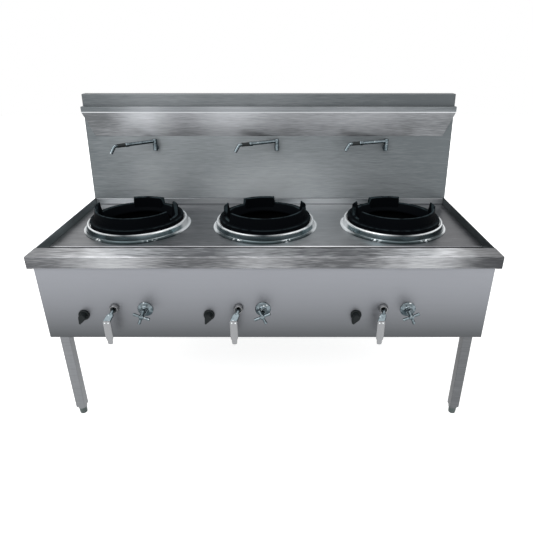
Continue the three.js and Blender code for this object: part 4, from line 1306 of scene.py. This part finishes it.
# ---- The burners ----
def collars():
    """Three spun collars: flared foot, upright wall, rolled top and a ledge for the ring."""
    b = sizes().burner
    for side in SIDES:
        node = "burner_collar_" + side
        low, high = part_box(node)
        ledge_z = high.z - b.bead
        foot_z = low.z + sizes().sheet.thickness
        line = [
            (b.ledge, ledge_z),
            *arc(b.bead_centre, ledge_z, b.bead, 180, 0, 14),
            *arc(b.collar_skirt + b.collar_flare, foot_z + b.collar_flare, b.collar_flare, 180, 270, 8),
            (b.collar_base, foot_z),
        ]
        skins = folded(line, sizes().sheet.thickness, 0.0, 1)
        profile = [(o.x, o.y) for o, _, _ in skins] + [(i.x, i.y) for _, i, _ in reversed(skins)]
        centre = middle(node).xy
        collar = turned("spun_collar_" + side, profile, (*centre, 0), b.sides)
        ways = [(v.co.xy - centre).normalized() for v in collar.data.vertices]
        marked(collar, "across", [way.x for way in ways])
        marked(collar, "front", [-way.y for way in ways])
        finished(collar, "cabinet", node, "collar", 0.0003)


def marked(obj, name, values):
    """Writes a value for each point of a mesh."""
    layer = obj.data.attributes.new(name, "FLOAT", "POINT")
    layer.data.foreach_set("value", values)


# Each raised wall of a ring: its kind, its middle, half its top and half its foot, in degrees.
WALLS = (("guard", 285, 69, 71), ("lug", 102, 24, 25), ("horn", 184, 2.6, 5.0), ("horn", 6, 2.6, 5.0))
WALL_STOPS = (0.0, 0.06, 0.2, 0.5, 0.8, 0.94, 1.0)
RING_TURNS = {"left": 8, "middle": 0, "right": -8}  # how far each ring is turned on its collar
HIGHLIGHT_POINTS = {2: 0.4, 3: 0.4, 8: 0.9, 9: 0.9}  # points of the section that carry the painted edge highlight
# Outer foot of each kind of wall, its outer top, its peak, its inner top (all from the top) and its
# inner foot (from the ledge), as (radius, height).
WALL_SECTIONS = {
    "low": ((0.1850, -0.0012), (0.1838, 0), (0.1740, 0), (0.1720, -0.0015), (0.1665, 0.0175)),
    "guard": ((0.1795, -0.002), (0.1775, 0), (0.1720, 0), (0.1702, -0.002), (0.1695, 0.020)),
    "lug": ((0.1850, -0.002), (0.1830, 0), (0.1625, 0), (0.1605, -0.002), (0.1600, 0.004)),
    "horn": ((0.1850, -0.0155), (0.1840, -0.0125), (0.1680, 0), (0.1640, -0.001), (0.1540, 0.012)),
}


def ring_section(kind, z):
    """The ring's section where it has no wall, a guard, a lug or a horn; all have the same points."""
    b = sizes().burner
    top = {"low": b.ring_wall, "guard": b.guard, "lug": b.lug, "horn": b.horn}[kind]
    *upper, inner_foot = WALL_SECTIONS[kind]
    outer, throat, flange = b.ring_outer, b.ring_throat, b.ring_flange
    points = [
        (outer, 0.0),
        (outer, flange - 0.0035),
        (outer - 0.0012, flange - 0.0012),
        (outer - 0.0035, flange),
        (0.1930, flange),
        (0.1900, flange + 0.0006),
        (0.1875, flange + 0.0018),
        *((r, top + h) for r, h in upper),
        inner_foot,
        (throat, -0.008),
        (throat, -0.0145),
        (throat + 0.0015, -0.016),
        (throat + 0.0075, -0.016),
        (0.1845, -0.0035),
        (0.186, -0.002),
        (0.186, 0.0),
    ]
    return [(r, z + h) for r, h in points]


def wok_rings():
    """Three cast rings: a raised front guard, a back lug and two horns that carry the wok."""
    angles = {float(a) for a in range(0, 360, 3)}
    for _, at, top, foot in WALLS:
        offs = [top + (foot - top) * share for share in WALL_STOPS]
        angles.update((at + hand * off) % 360 for hand in (-1, 1) for off in offs)
    stops = []
    for angle in sorted(angles):
        if not stops or angle - stops[-1] > 0.05:
            stops.append(angle)

    def section(angle, z):
        plain = ring_section("low", z)
        for kind, at, top, foot in WALLS:
            off = abs((angle - at + 180) % 360 - 180)
            if off < foot:
                share = 1.0 if off <= top else (foot - off) / (foot - top)
                return [Vector(p).lerp(Vector(q), share) for p, q in zip(plain, ring_section(kind, z))]
        return plain

    for side in SIDES:
        node = "wok_ring_" + side
        base_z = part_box(node)[1].z - sizes().burner.horn
        centre = middle("burner_collar_" + side)
        rings = []
        for angle in stops:
            # The left ring is the mirror image of the other two.
            turn = math.radians((180 - angle if side == "left" else angle) + RING_TURNS[side])
            c, s = math.cos(turn), math.sin(turn)
            rings.append([Vector((centre.x + r * c, centre.y + r * s, z)) for r, z in section(angle, base_z)])
        ring = loft("cast_ring_" + side, rings, around=True)
        count = len(rings[0])
        marked(ring, "rub", [HIGHLIGHT_POINTS.get(i % count, 0.0) for i in range(len(ring.data.vertices))])
        finished(ring, node, node, "iron")


CONE_DROP = 0.072  # from the deck to where the chamber narrows
CHAMBER_FLANGE = 0.032
BURNER_CROWN = 0.034  # over the chamber's floor
BURNER_FOOT = 0.022  # under the chamber
BURNER_HOLE = 0.002  # clearance round the neck
BURNER_WELL = 0.017  # depth of the crown's well
BURNER_LEDGE = 0.016  # how far the flange stands out of the neck
PORT_SINK = 0.0006
# Each ring of flame ports: how far in from the neck and down from the crown.
PORT_RINGS = ((0.0068, 0.0), (0.021, 0.0055), (0.031, 0.0125))


def chambers_and_burners():
    """The fire chambers under the collars, and the burners with their mixing tubes and ports."""
    b = sizes().burner
    t = sizes().sheet.thickness
    for side in SIDES:
        low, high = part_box("fire_chamber_" + side)
        at = (*middle("burner_collar_" + side).xy, 0)
        wall = 2 * t
        cone_z, flange_z, floor_z = deck_z() - CONE_DROP, deck_z() - t - FIT, low.z + wall
        hole = b.burner_neck + BURNER_HOLE
        profile = [
            (b.chamber - wall, high.z),
            (b.chamber - wall, cone_z + t),
            (b.chamber_floor - t, floor_z),
            (hole, floor_z),
            (hole, low.z),
            (b.chamber_floor, low.z),
            (b.chamber, cone_z),
            (b.chamber, flange_z - wall),
            (b.chamber + CHAMBER_FLANGE, flange_z - wall),
            (b.chamber + CHAMBER_FLANGE, flange_z),
            (b.chamber, flange_z),
            (b.chamber, high.z),
        ]
        chamber = turned("chamber_pot_" + side, outline(profile, 0.0015, 3), at, b.sides)
        finished(chamber, "cabinet", "fire_chamber_" + side, "soot")
        burner(side, at, floor_z + FIT, low.z - BURNER_FOOT)


def burner(side, at, seat, foot):
    """One cast burner head with rings of flame ports, and its mixing tube to the gas valve."""
    b = sizes().burner
    node = "burner_" + side
    crown, neck = seat + BURNER_CROWN, b.burner_neck
    ledge, well = neck + BURNER_LEDGE, crown - BURNER_WELL
    profile = [
        (neck, foot),
        (neck, seat),
        (ledge, seat),
        (ledge, seat + 0.004),
        (neck, seat + 0.008),
        (neck, crown - 0.004),
        (neck - 0.004, crown),
        (neck - 0.0095, crown),
        (b.mixer, well),
    ]
    rim = outline(profile, 0.0018, 3)
    start = rim.index(min(rim, key=lambda point: point[1]))
    body = [(0.0, foot), *rim[start:], *rim[:start], (0.0, well)]
    head = turned("burner_head_" + side, [(max(r, 0.0), z) for r, z in body], at, 72)
    finished(head, "cabinet", node, "iron")

    lever = axis_of("knee_lever_" + side)
    valve_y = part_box(node)[0].y
    path = [
        (at[0], at[1], foot + 0.002),
        (at[0], at[1], lever.z),
        (lever.x, valve_y + 2 * b.mixer, lever.z),
        (lever.x, valve_y, lever.z),
    ]
    tube = swept("mixing_tube_" + side, path, b.mixer, 32, b.mixer * 1.1)
    finished(tube, "cabinet", node, "iron", 0.0006)

    jets = []
    for inset, drop in PORT_RINGS:
        circle = arc(at[0], at[1], neck - inset, 0, 351, 39)
        jets.append(([(x, y, crown - drop - PORT_SINK) for x, y in circle], True))
    r = b.jet
    boss = [(r * 0.5, 0), (r, 0), (r, 0.0022), (r * 0.8, 0.0028), (r * 0.5, 0.0028)]
    port = turned("port", boss, (0, 0, 0), 10)
    ports = repeated("flame_ports_" + side, jets, port, b.jet_gap, material("soot"))
    finished(ports, "cabinet", node, "soot")


# ---- The controls ----
SEAT_Y = PANEL_Y - FIT  # where the controls sit
SPINDLE_BORE = 0.007
KNOB_TILT = math.radians(25)
KNOB_ROUND = 0.0045  # radius of the skirt's front edge
KNOB_SPINDLE = 0.005
SPINDLE_DEPTH = 0.002  # how far spindles reach into the panel
POINTER = (0.0045, 0.003, 0.004)  # half its width, half its tip's width and the length between
# Stations of the knob's grip: how far back from its front, and its size.
GRIP_STOPS = ((0.004, 0.93), (0.0012, 0.88), (0.0, 0.8))
CUP_RECESS = 0.009
CUP_RIM = 0.0065  # from the cup's wall to its recess
HANDLE_PLACE = Vector((-0.016, -0.06, -0.026))  # its top from the cup's middle on the panel
ELBOW_REACH = 0.008  # from the cup to the stem's bend
ELBOW_BEND = 0.010
PIN_PLACE = (0.0068, -0.0045)  # from the middle of the handle's top
PIN_DOME = ((0, 0.003), (0.0032, 0.003), (0.0032, -0.0002), (0.0022, -0.0012), (0, -0.0016))
HANDLE_LAP = 0.003  # how far the handle reaches up over its bar's end
# Stations of the lever's bar and of its handle: share of the way, width and depth.
BAR_STOPS = ((0.2, 0.5, 0.9), (0.3, 0.66, 1), (0.4, 0.93, 1), (0.46, 1, 1), (0.94, 1.06, 1), (1, 1.1, 1))
HANDLE_STOPS = (
    (0, 0.9, 0.75), (0.012, 0.98, 0.92), (0.03, 1, 1), (0.3, 1, 1), (0.6, 0.99, 1), (0.74, 0.95, 0.97),
    (0.785, 0.86, 0.92), (0.82, 0.72, 0.88), (0.95, 0.66, 0.84), (0.985, 0.58, 0.7), (1, 0.42, 0.5),
)
TAP_TILTS = {"left": -22, "middle": 25, "right": 25}  # of the cross handles, in degrees
TAP_ARM_DEPTH = 0.008  # from the hub's front to the arms' middles
TAP_ARM_GAP = 0.0002  # keeps the arms' ends inside their reach


def knobs():
    """Three pilot knobs: a round skirt under a pointer grip."""
    c = sizes().control
    shoulder = SEAT_Y - c.knob_skirt
    front = shoulder - c.knob_grip
    inner = SEAT_Y + SPINDLE_DEPTH
    profile = [(0, inner), (KNOB_SPINDLE, inner), (KNOB_SPINDLE, SEAT_Y), (c.knob, SEAT_Y)]
    profile += arc(c.knob - KNOB_ROUND, shoulder + KNOB_ROUND, KNOB_ROUND, 0, -90, 6)
    profile.append((0, shoulder))
    wide, narrow, long = POINTER
    neck, tip = long - c.knob_tail, -c.knob_tail
    grip = arc(0, 0, c.knob * 0.7, -20, 200, 20)
    grip += [(-wide, neck), (-narrow, tip), (narrow, tip), (wide, neck)]
    cos, sin = math.cos(KNOB_TILT), math.sin(KNOB_TILT)
    stops = [(shoulder + SPINDLE_DEPTH, 1.0)] + [(front + back, share) for back, share in GRIP_STOPS]
    for side in SIDES:
        node = "knob_" + side
        at = axis_of(node)
        skirt = turned(node + "_moulding", profile, (at.x, 0, at.z), 64, "Y")
        rings = []
        for y, share in stops:
            tilted = [(share * (u * cos + v * sin), share * (v * cos - u * sin)) for u, v in grip]
            rings.append([Vector((at.x + x, y, at.z + z)) for x, z in tilted])
        united(skirt, loft("grip", rings))
        finished(skirt, node, node, "knob", 0.0005)


def knee_levers():
    """Three knee levers: a cup on the panel, a stem, a flat chromed bar and a satin handle."""
    c = sizes().control
    for side in SIDES:
        node, boss_node = "knee_lever_" + side, "lever_boss_" + side
        at = axis_of(node)
        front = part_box(boss_node)[0].y
        floor_y = front + CUP_RECESS
        profile = [
            (SPINDLE_BORE, SEAT_Y),
            (c.boss, SEAT_Y),
            (c.boss, SEAT_Y - 0.007),
            (c.boss - 0.0035, front),
            (c.boss - CUP_RIM, front),
            (c.boss - CUP_RIM, floor_y),
            (SPINDLE_BORE, floor_y),
        ]
        cup = turned("lever_cup_" + side, outline(profile, 0.001, 3), (at.x, 0, at.z), 64, "Y")
        finished(cup, "cabinet", boss_node, "satin", also=("recess",))
        # The faces inside each cup take the recess's painted shade.
        for face in cup.data.polygons:
            off = (face.center.xz - at.xz).length
            inside = SPINDLE_BORE + SKIN / 2 < off < c.boss - CUP_RIM + SKIN / 2
            face.material_index = int(inside and front + SKIN < face.center.y < SEAT_Y - SKIN)

        handle = Vector((at.x, PANEL_Y, at.z)) + HANDLE_PLACE
        elbow = Vector((at.x, front - FIT - ELBOW_REACH, at.z))
        run = handle - elbow
        path = [(at.x, PANEL_Y + SPINDLE_DEPTH, at.z), elbow, elbow + run * 0.4]
        stem = swept("lever_stem_" + side, path, c.lever_stem, 32, ELBOW_BEND, 8)
        across = Vector((1, 0, 0))
        over_bar = across.cross(run).normalized()
        if over_bar.z < 0:
            over_bar.negate()
        rings = []
        for share, width, depth in BAR_STOPS:
            wide, deep = c.lever_bar / 2 * width, c.lever_bar_depth / 2 * depth
            shape = outline(rectangle(-wide, -deep, wide, deep), deep * 0.75, 4)
            rings.append([elbow + run * share + across * u + over_bar * v for u, v in shape])
        united(stem, loft("bar", rings))
        finished(stem, node, node, "chrome", 0.0006)

        rings = []
        top = handle.z + HANDLE_LAP
        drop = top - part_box(node)[0].z
        for share, width, depth in HANDLE_STOPS:
            wide, deep = c.handle_top / 2 * width, c.handle_depth / 2 * depth
            place = along_z(top - drop * share, handle)
            circle = arc(0, 0, 1, 0, 348.75, 31)
            rings.append([place((bulged(u, 0.55) * wide, bulged(v, 0.7) * deep)) for u, v in circle])
        finished(loft("lever_handle_" + side, rings), node, node, "satin")

        # Two pins hold the handle on its bar; their bright polish is a painted highlight.
        face_y = handle.y - c.handle_depth / 2
        x, z = PIN_PLACE
        pins = [
            turned(name, PIN_DOME, (handle.x + off, face_y, handle.z + z), 20, "Y")
            for name, off in (("lever_pins_" + side, -x), ("pin", x))
        ]
        finished(united(*pins), node, node, "pin")


def bulged(share, power):
    """A share of the way out that fills a round section towards a square one."""
    return math.copysign(abs(share) ** power, share)


def taps():
    """Three water taps: a flange with its bonnet, and a cross handle."""
    c = sizes().control
    for side in SIDES:
        escutcheon, node = "tap_escutcheon_" + side, "tap_handle_" + side
        at = axis_of(node)
        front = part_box(escutcheon)[0].y
        profile = [
            (SPINDLE_BORE, SEAT_Y),
            (c.escutcheon, SEAT_Y),
            (c.escutcheon, SEAT_Y - 0.0025),
            (c.escutcheon - 0.004, SEAT_Y - 0.0045),
            (c.bonnet + 0.003, SEAT_Y - 0.0085),
            (c.bonnet, SEAT_Y - 0.011),
            (c.bonnet, SEAT_Y - 0.017),
            (c.bonnet - 0.002, SEAT_Y - 0.018),
            (c.bonnet - 0.002, front),
            (SPINDLE_BORE, front),
        ]
        flange = turned("tap_flange_" + side, outline(profile, 0.0012, 4), (at.x, 0, at.z), 72, "Y")
        finished(flange, "cabinet", escutcheon, "chrome")

        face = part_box(node)[0].y
        hub = [
            (0, face),
            (c.tap_hub * 0.5, face + 0.0004),
            (c.tap_hub * 0.85, face + 0.002),
            (c.tap_hub, face + 0.005),
            (c.tap_hub, face + 0.011),
            (c.tap_hub * 0.8, face + 0.0155),
            (0.006, face + 0.016),
            (0.006, PANEL_Y + SPINDLE_DEPTH),
            (0, PANEL_Y + SPINDLE_DEPTH),
        ]
        handle = turned("cross_handle_" + side, hub, (at.x, 0, at.z), 48, "Y")
        centre = Vector((at.x, face + TAP_ARM_DEPTH, at.z))
        swell = stepped(c.tap_arm, (0.5, 0.8), (0.93, 1), (0.99, 0.93), (2, 0.6))
        arms = []
        for angle in range(0, 360, 90):
            turn = math.radians(angle + TAP_TILTS[side])
            out = Vector((math.cos(turn), 0, math.sin(turn)))
            start, end = centre + out * c.tap_hub * 0.5, centre + out * (c.tap_reach - TAP_ARM_GAP)
            path = [start.lerp(end, share) for share in (0, 0.6, 0.9, 0.97, 1)]
            arms.append(swept("arm", path, swell, 20))
        united(handle, *arms)
        finished(handle, node, node, "chrome", 0.0004)


def stepped(radius, *stops):
    """A radius that changes along a rod: each (share of the way, share of the radius) holds up to it."""
    return lambda way: radius * next(share for end, share in stops if way < end)


# ---- The spouts ----
SPOUT_TURNS = {"left": 40, "middle": 30, "right": 22}  # degrees forward of the wall
FEED_HEIGHT = 0.011  # the inlet's middle over the pillar's foot
NECK_RADIUS = 0.009
TIP_STRAIGHT = 0.013  # before the tip's bend
TIP_BEND = 0.022
MOUTH = (0.0058, 0.004, 0.010)  # its radius, and how far its cutter stands out and reaches in
UP = Vector((0, 0, 1))


def spout_feed_z(side):
    """The height of a spout's inlet: its flange's middle."""
    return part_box("spout_pillar_" + side)[0].z + FEED_HEIGHT


def capped(name, axis, radius, low, high, softness):
    """A round post with softened ends."""
    profile = outline(rectangle(0, low, radius, high), softness, 5)
    return turned(name, [(max(r, 0.0), z) for r, z in profile], (axis.x, axis.y, 0), 48)


def spouts():
    """Three swing spouts: a pillar out of the splashback, an arm, its nut, a sleeve and a tip."""
    c = sizes().control
    for side in SIDES:
        pillar_node, node = "spout_pillar_" + side, "spout_" + side
        axis = axis_of(node)
        low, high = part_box(pillar_node)
        pillar = capped("spout_post_" + side, axis, c.pillar, low.z, high.z, 0.0025)
        feed_z = spout_feed_z(side)
        wall_y = splash_y(feed_z - c.rose) - FIT
        neck = swept("neck", [(axis.x, axis.y, feed_z), (axis.x, high.y, feed_z)], NECK_RADIUS, 32)
        flange = [(0.004, -0.005), (c.rose - 0.001, -0.005), (c.rose, -0.002), (c.rose, 0), (0.004, 0)]
        rose = turned("rose", outline(flange, 0.0008, 3), (axis.x, wall_y, feed_z), 48, "Y")
        united(pillar, neck, rose)
        finished(pillar, "cabinet", pillar_node, "chrome", 0.0004)

        turn = math.radians(SPOUT_TURNS[side])
        back = Vector((-math.cos(turn), -math.sin(turn), 0.0))
        head = capped("spout_head_" + side, axis, c.pillar, high.z + FIT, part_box(node)[1].z, 0.003)
        nut_end = c.spout_reach + c.nut_length
        sleeve = (nut_end + FIT, nut_end + FIT + c.sleeve_length)
        tip_start = sleeve[1] + FIT
        arm = swept("arm", [axis, axis + back * c.spout_reach], c.spout_arm, 32)
        nut = hex_nut(axis, back, c.spout_reach - 0.002, nut_end, c.spout_nut)
        run = [axis + back * c.spout_reach, axis + back * (sleeve[1] + 0.006)]
        tube = swept("tube", run, c.sleeve_tube, 24)
        corner = axis + back * (tip_start + TIP_STRAIGHT)
        end = axis + back * (tip_start + c.tip_reach) - UP * c.tip_drop
        swell = stepped(c.spout_tip, (0.04, 0.93), (0.86, 1), (0.97, 1.12), (2, 1.03))
        tip = swept("tip", [axis + back * tip_start, corner, end], swell, 32, TIP_BEND, 12)
        united(head, arm, nut, tube, tip)
        out = (end - corner).normalized()
        bore, proud, deep = MOUTH
        drilled(head, [swept("mouth", [end + out * proud, end - out * deep], bore, 24)])
        finished(head, node, node, "chrome", 0.0004)

        start, stop = (axis + back * reach for reach in sleeve)
        path = [start.lerp(stop, share) for share in (0, 0.03, 0.97, 1)]
        swell = stepped(c.sleeve, (0.02, 0.9), (0.98, 1), (2, 0.9))
        collar = swept("spout_sleeve_tube_" + side, path, swell, 32)
        finished(collar, node, "spout_sleeve_" + side, "rubber", 0.0003)


def hex_nut(origin, along, start, end, radius):
    """A six-sided nut on an arm."""
    side = along.cross(UP)
    rings = []
    for distance, share in ((start, 0.86), (start + 0.0016, 1.0), (end - 0.0016, 1.0), (end, 0.86)):
        corners = arc(0, 0, radius * share, 0, 300, 5)
        rings.append([origin + along * distance + side * u + UP * v for u, v in corners])
    return loft("nut", rings)


# ---- The pipes ----
def carried_over():
    """The pipes inside the cabinet keep their solids and get their finish."""
    for node in PIPE_ENDS:
        mesh = frame["nodes"][node].data
        mesh.materials.clear()
        mesh.materials.append(material("brass"))


# ---- The stage ----
FLOOR_HALF = 9.0
FLOOR_Z = -0.0004
FLOOR_FADE = (1.6, 3.4)  # distances over which the floor turns to white
FLOOR_LIFT = 0.72  # of its white, near the range
LAMPS = (
    ("soft_sun", "SUN", (-1.5, -2.5, 5.0), "sun", {"angle": math.radians(75)}),
    ("key_panel", "AREA", (-2.2, -3.0, 3.2), "key", {"shape": "SQUARE", "size": 2.2}),
    ("fill_panel", "AREA", (2.8, -2.0, 2.4), "fill", {"shape": "SQUARE", "size": 1.8}),
)
SENSOR_WIDTH = 36.0  # millimetres


def studio():
    """A pale floor, a white world, soft lamps and the camera."""
    stage = sizes().stage
    scene = bpy.context.scene
    scene.view_settings.view_transform = "Standard"

    world = bpy.data.worlds.new("studio_world")
    scene.world = world
    world.use_nodes = True
    tree = world.node_tree
    tree.nodes.clear()
    strength = ranged(tree, seen_directly(tree), 0.0, 1.0, stage.world, 1.0)
    sky = add(tree, "ShaderNodeBackground", {"Color": (1, 1, 1, 1), "Strength": strength})
    add(tree, "ShaderNodeOutputWorld", {"Surface": sky.outputs[0]})

    shell = bmesh.new()
    square = rectangle(-FLOOR_HALF, -FLOOR_HALF, FLOOR_HALF, FLOOR_HALF)
    shell.faces.new([shell.verts.new((x, y, FLOOR_Z)) for x, y in square])
    floor = placed_mesh("studio_floor", shell)
    floor.data.materials.append(floor_paper())

    for name, kind, place, power, settings in LAMPS:
        lamp(name, kind, place, getattr(stage, power), **settings)

    camera = bpy.data.objects.new("camera", bpy.data.cameras.new("camera"))
    scene.collection.objects.link(camera)
    camera.location = stage.camera
    camera.rotation_euler = (math.pi / 2 - stage.pitch, 0, 0)
    camera.data.sensor_fit, camera.data.sensor_width = "HORIZONTAL", SENSOR_WIDTH
    camera.data.lens, camera.data.shift_x = stage.lens, stage.shift
    scene.camera = camera


def seen_directly(tree):
    """1 for camera, glossy and transmission rays."""
    rays = add(tree, "ShaderNodeLightPath").outputs
    seen = maths(tree, "MAXIMUM", rays["Is Camera Ray"], rays["Is Glossy Ray"])
    return maths(tree, "MAXIMUM", seen, rays["Is Transmission Ray"])


def floor_paper():
    """Pale background paper, white where it is lit and seen, with the object's shadow on it."""
    made, tree, coords = fresh("background_paper")
    tint = between(tree, grain(tree, coords, 0.01), paint("floor", 0.97), paint("floor"))
    paper = add(tree, "ShaderNodeBsdfDiffuse", {"Color": tint})
    away = add(tree, "ShaderNodeVectorMath", {0: coords}, operation="LENGTH").outputs["Value"]
    lift = plus(tree, FLOOR_LIFT, times(tree, step(tree, away, *FLOOR_FADE), 1 - FLOOR_LIFT))
    lift = times(tree, seen_directly(tree), lift)
    glow = add(tree, "ShaderNodeEmission", {"Color": (1, 1, 1, 1), "Strength": lift})
    both = add(tree, "ShaderNodeAddShader", {0: paper.outputs[0], 1: glow.outputs[0]})
    add(tree, "ShaderNodeOutputMaterial", {"Surface": both.outputs[0]})
    return made


def lamp(name, kind, place, power, **settings):
    """A lamp that looks at the middle of the range."""
    data = bpy.data.lights.new(name, kind)
    data.energy = power
    for key, value in settings.items():
        setattr(data, key, value)
    made = bpy.data.objects.new(name, data)
    bpy.context.scene.collection.objects.link(made)
    made.location = place
    target = Vector((0, 0, TOP_Z * 0.7))
    made.rotation_euler = (target - Vector(place)).to_track_quat("-Z", "Y").to_euler()


# ---- Operators, panel and properties ----
class RangeSettings(bpy.types.PropertyGroup):
    """All settings of the wok range."""

    sheet: PointerProperty(name="Sheets", description="Sizes of the folded sheets", type=SheetSizes)
    burner: PointerProperty(name="Burners", description="Sizes of the burners", type=BurnerSizes)
    control: PointerProperty(name="Controls", description="Sizes of the controls", type=ControlSizes)
    finish: PointerProperty(name="Finishes", description="Colours", type=Finishes)
    stage: PointerProperty(name="Stage", description="Camera, lamps and floor", type=StageSettings)


class Maker:
    """What the operators share: each runs its makers in turn."""

    makers = ()

    def execute(self, context):
        for make in self.makers:
            make()
        return {"FINISHED"}


class WOKRANGE_OT_stage(Maker, bpy.types.Operator):
    """Set up the floor, the world, the lamps and the camera"""

    bl_idname = "wokrange.stage"
    bl_label = "Stage"
    makers = (studio,)


class WOKRANGE_OT_top(Maker, bpy.types.Operator):
    """Make the front rim, the deck, the gutter and the drain"""

    bl_idname = "wokrange.top"
    bl_label = "Front rim, deck and gutter"
    makers = (front_rim, deck_plate, gutter)


class WOKRANGE_OT_cabinet(Maker, bpy.types.Operator):
    """Make the cabinet's panels, the side rims and the pan"""

    bl_idname = "wokrange.cabinet"
    bl_label = "Cabinet"
    makers = (front_panel, side_panels, rear_panel, rear_screws, base_pan)


class WOKRANGE_OT_legs(Maker, bpy.types.Operator):
    """Make the legs and the feet"""

    bl_idname = "wokrange.legs"
    bl_label = "Legs and feet"
    makers = (legs_and_feet,)


class WOKRANGE_OT_splashback(Maker, bpy.types.Operator):
    """Make the splashback and the duct cover"""

    bl_idname = "wokrange.splashback"
    bl_label = "Splashback"
    makers = (splashback, duct_cover)


class WOKRANGE_OT_burners(Maker, bpy.types.Operator):
    """Make the collars, the wok rings, the chambers and the burners"""

    bl_idname = "wokrange.burners"
    bl_label = "Burners"
    makers = (collars, wok_rings, chambers_and_burners)


class WOKRANGE_OT_controls(Maker, bpy.types.Operator):
    """Make the knobs, the knee levers and the taps"""

    bl_idname = "wokrange.controls"
    bl_label = "Controls"
    makers = (knobs, knee_levers, taps)


class WOKRANGE_OT_spouts(Maker, bpy.types.Operator):
    """Make the swing spouts and finish the pipes"""

    bl_idname = "wokrange.spouts"
    bl_label = "Spouts and pipes"
    makers = (spouts, carried_over)


OPERATORS = (
    WOKRANGE_OT_stage,
    WOKRANGE_OT_top,
    WOKRANGE_OT_cabinet,
    WOKRANGE_OT_legs,
    WOKRANGE_OT_splashback,
    WOKRANGE_OT_burners,
    WOKRANGE_OT_controls,
    WOKRANGE_OT_spouts,
)


class WOKRANGE_PT_panel(bpy.types.Panel):
    """The wok range's pieces"""

    bl_idname = "WOKRANGE_PT_panel"
    bl_label = "Wok range"
    bl_space_type = "VIEW_3D"
    bl_region_type = "UI"
    bl_category = "Wok range"

    def draw(self, context):
        for operator in OPERATORS:
            self.layout.operator(operator.bl_idname)


GROUPS = (SheetSizes, BurnerSizes, ControlSizes, Finishes, StageSettings, RangeSettings)
CLASSES = GROUPS + OPERATORS + (WOKRANGE_PT_panel,)


def register():
    """Adds the add-on's classes and its settings."""
    for cls in CLASSES:
        bpy.utils.register_class(cls)
    settings = PointerProperty(name="Wok range", description="Its settings", type=RangeSettings)
    bpy.types.Scene.wok_range = settings


def unregister():
    """Takes them away again."""
    del bpy.types.Scene.wok_range
    for cls in reversed(CLASSES):
        bpy.utils.unregister_class(cls)


def main():
    """Runs every operator."""
    register()
    for operator in OPERATORS:
        group, name = operator.bl_idname.split(".")
        getattr(getattr(bpy.ops, group), name)()


if __name__ == "__main__":
    main()
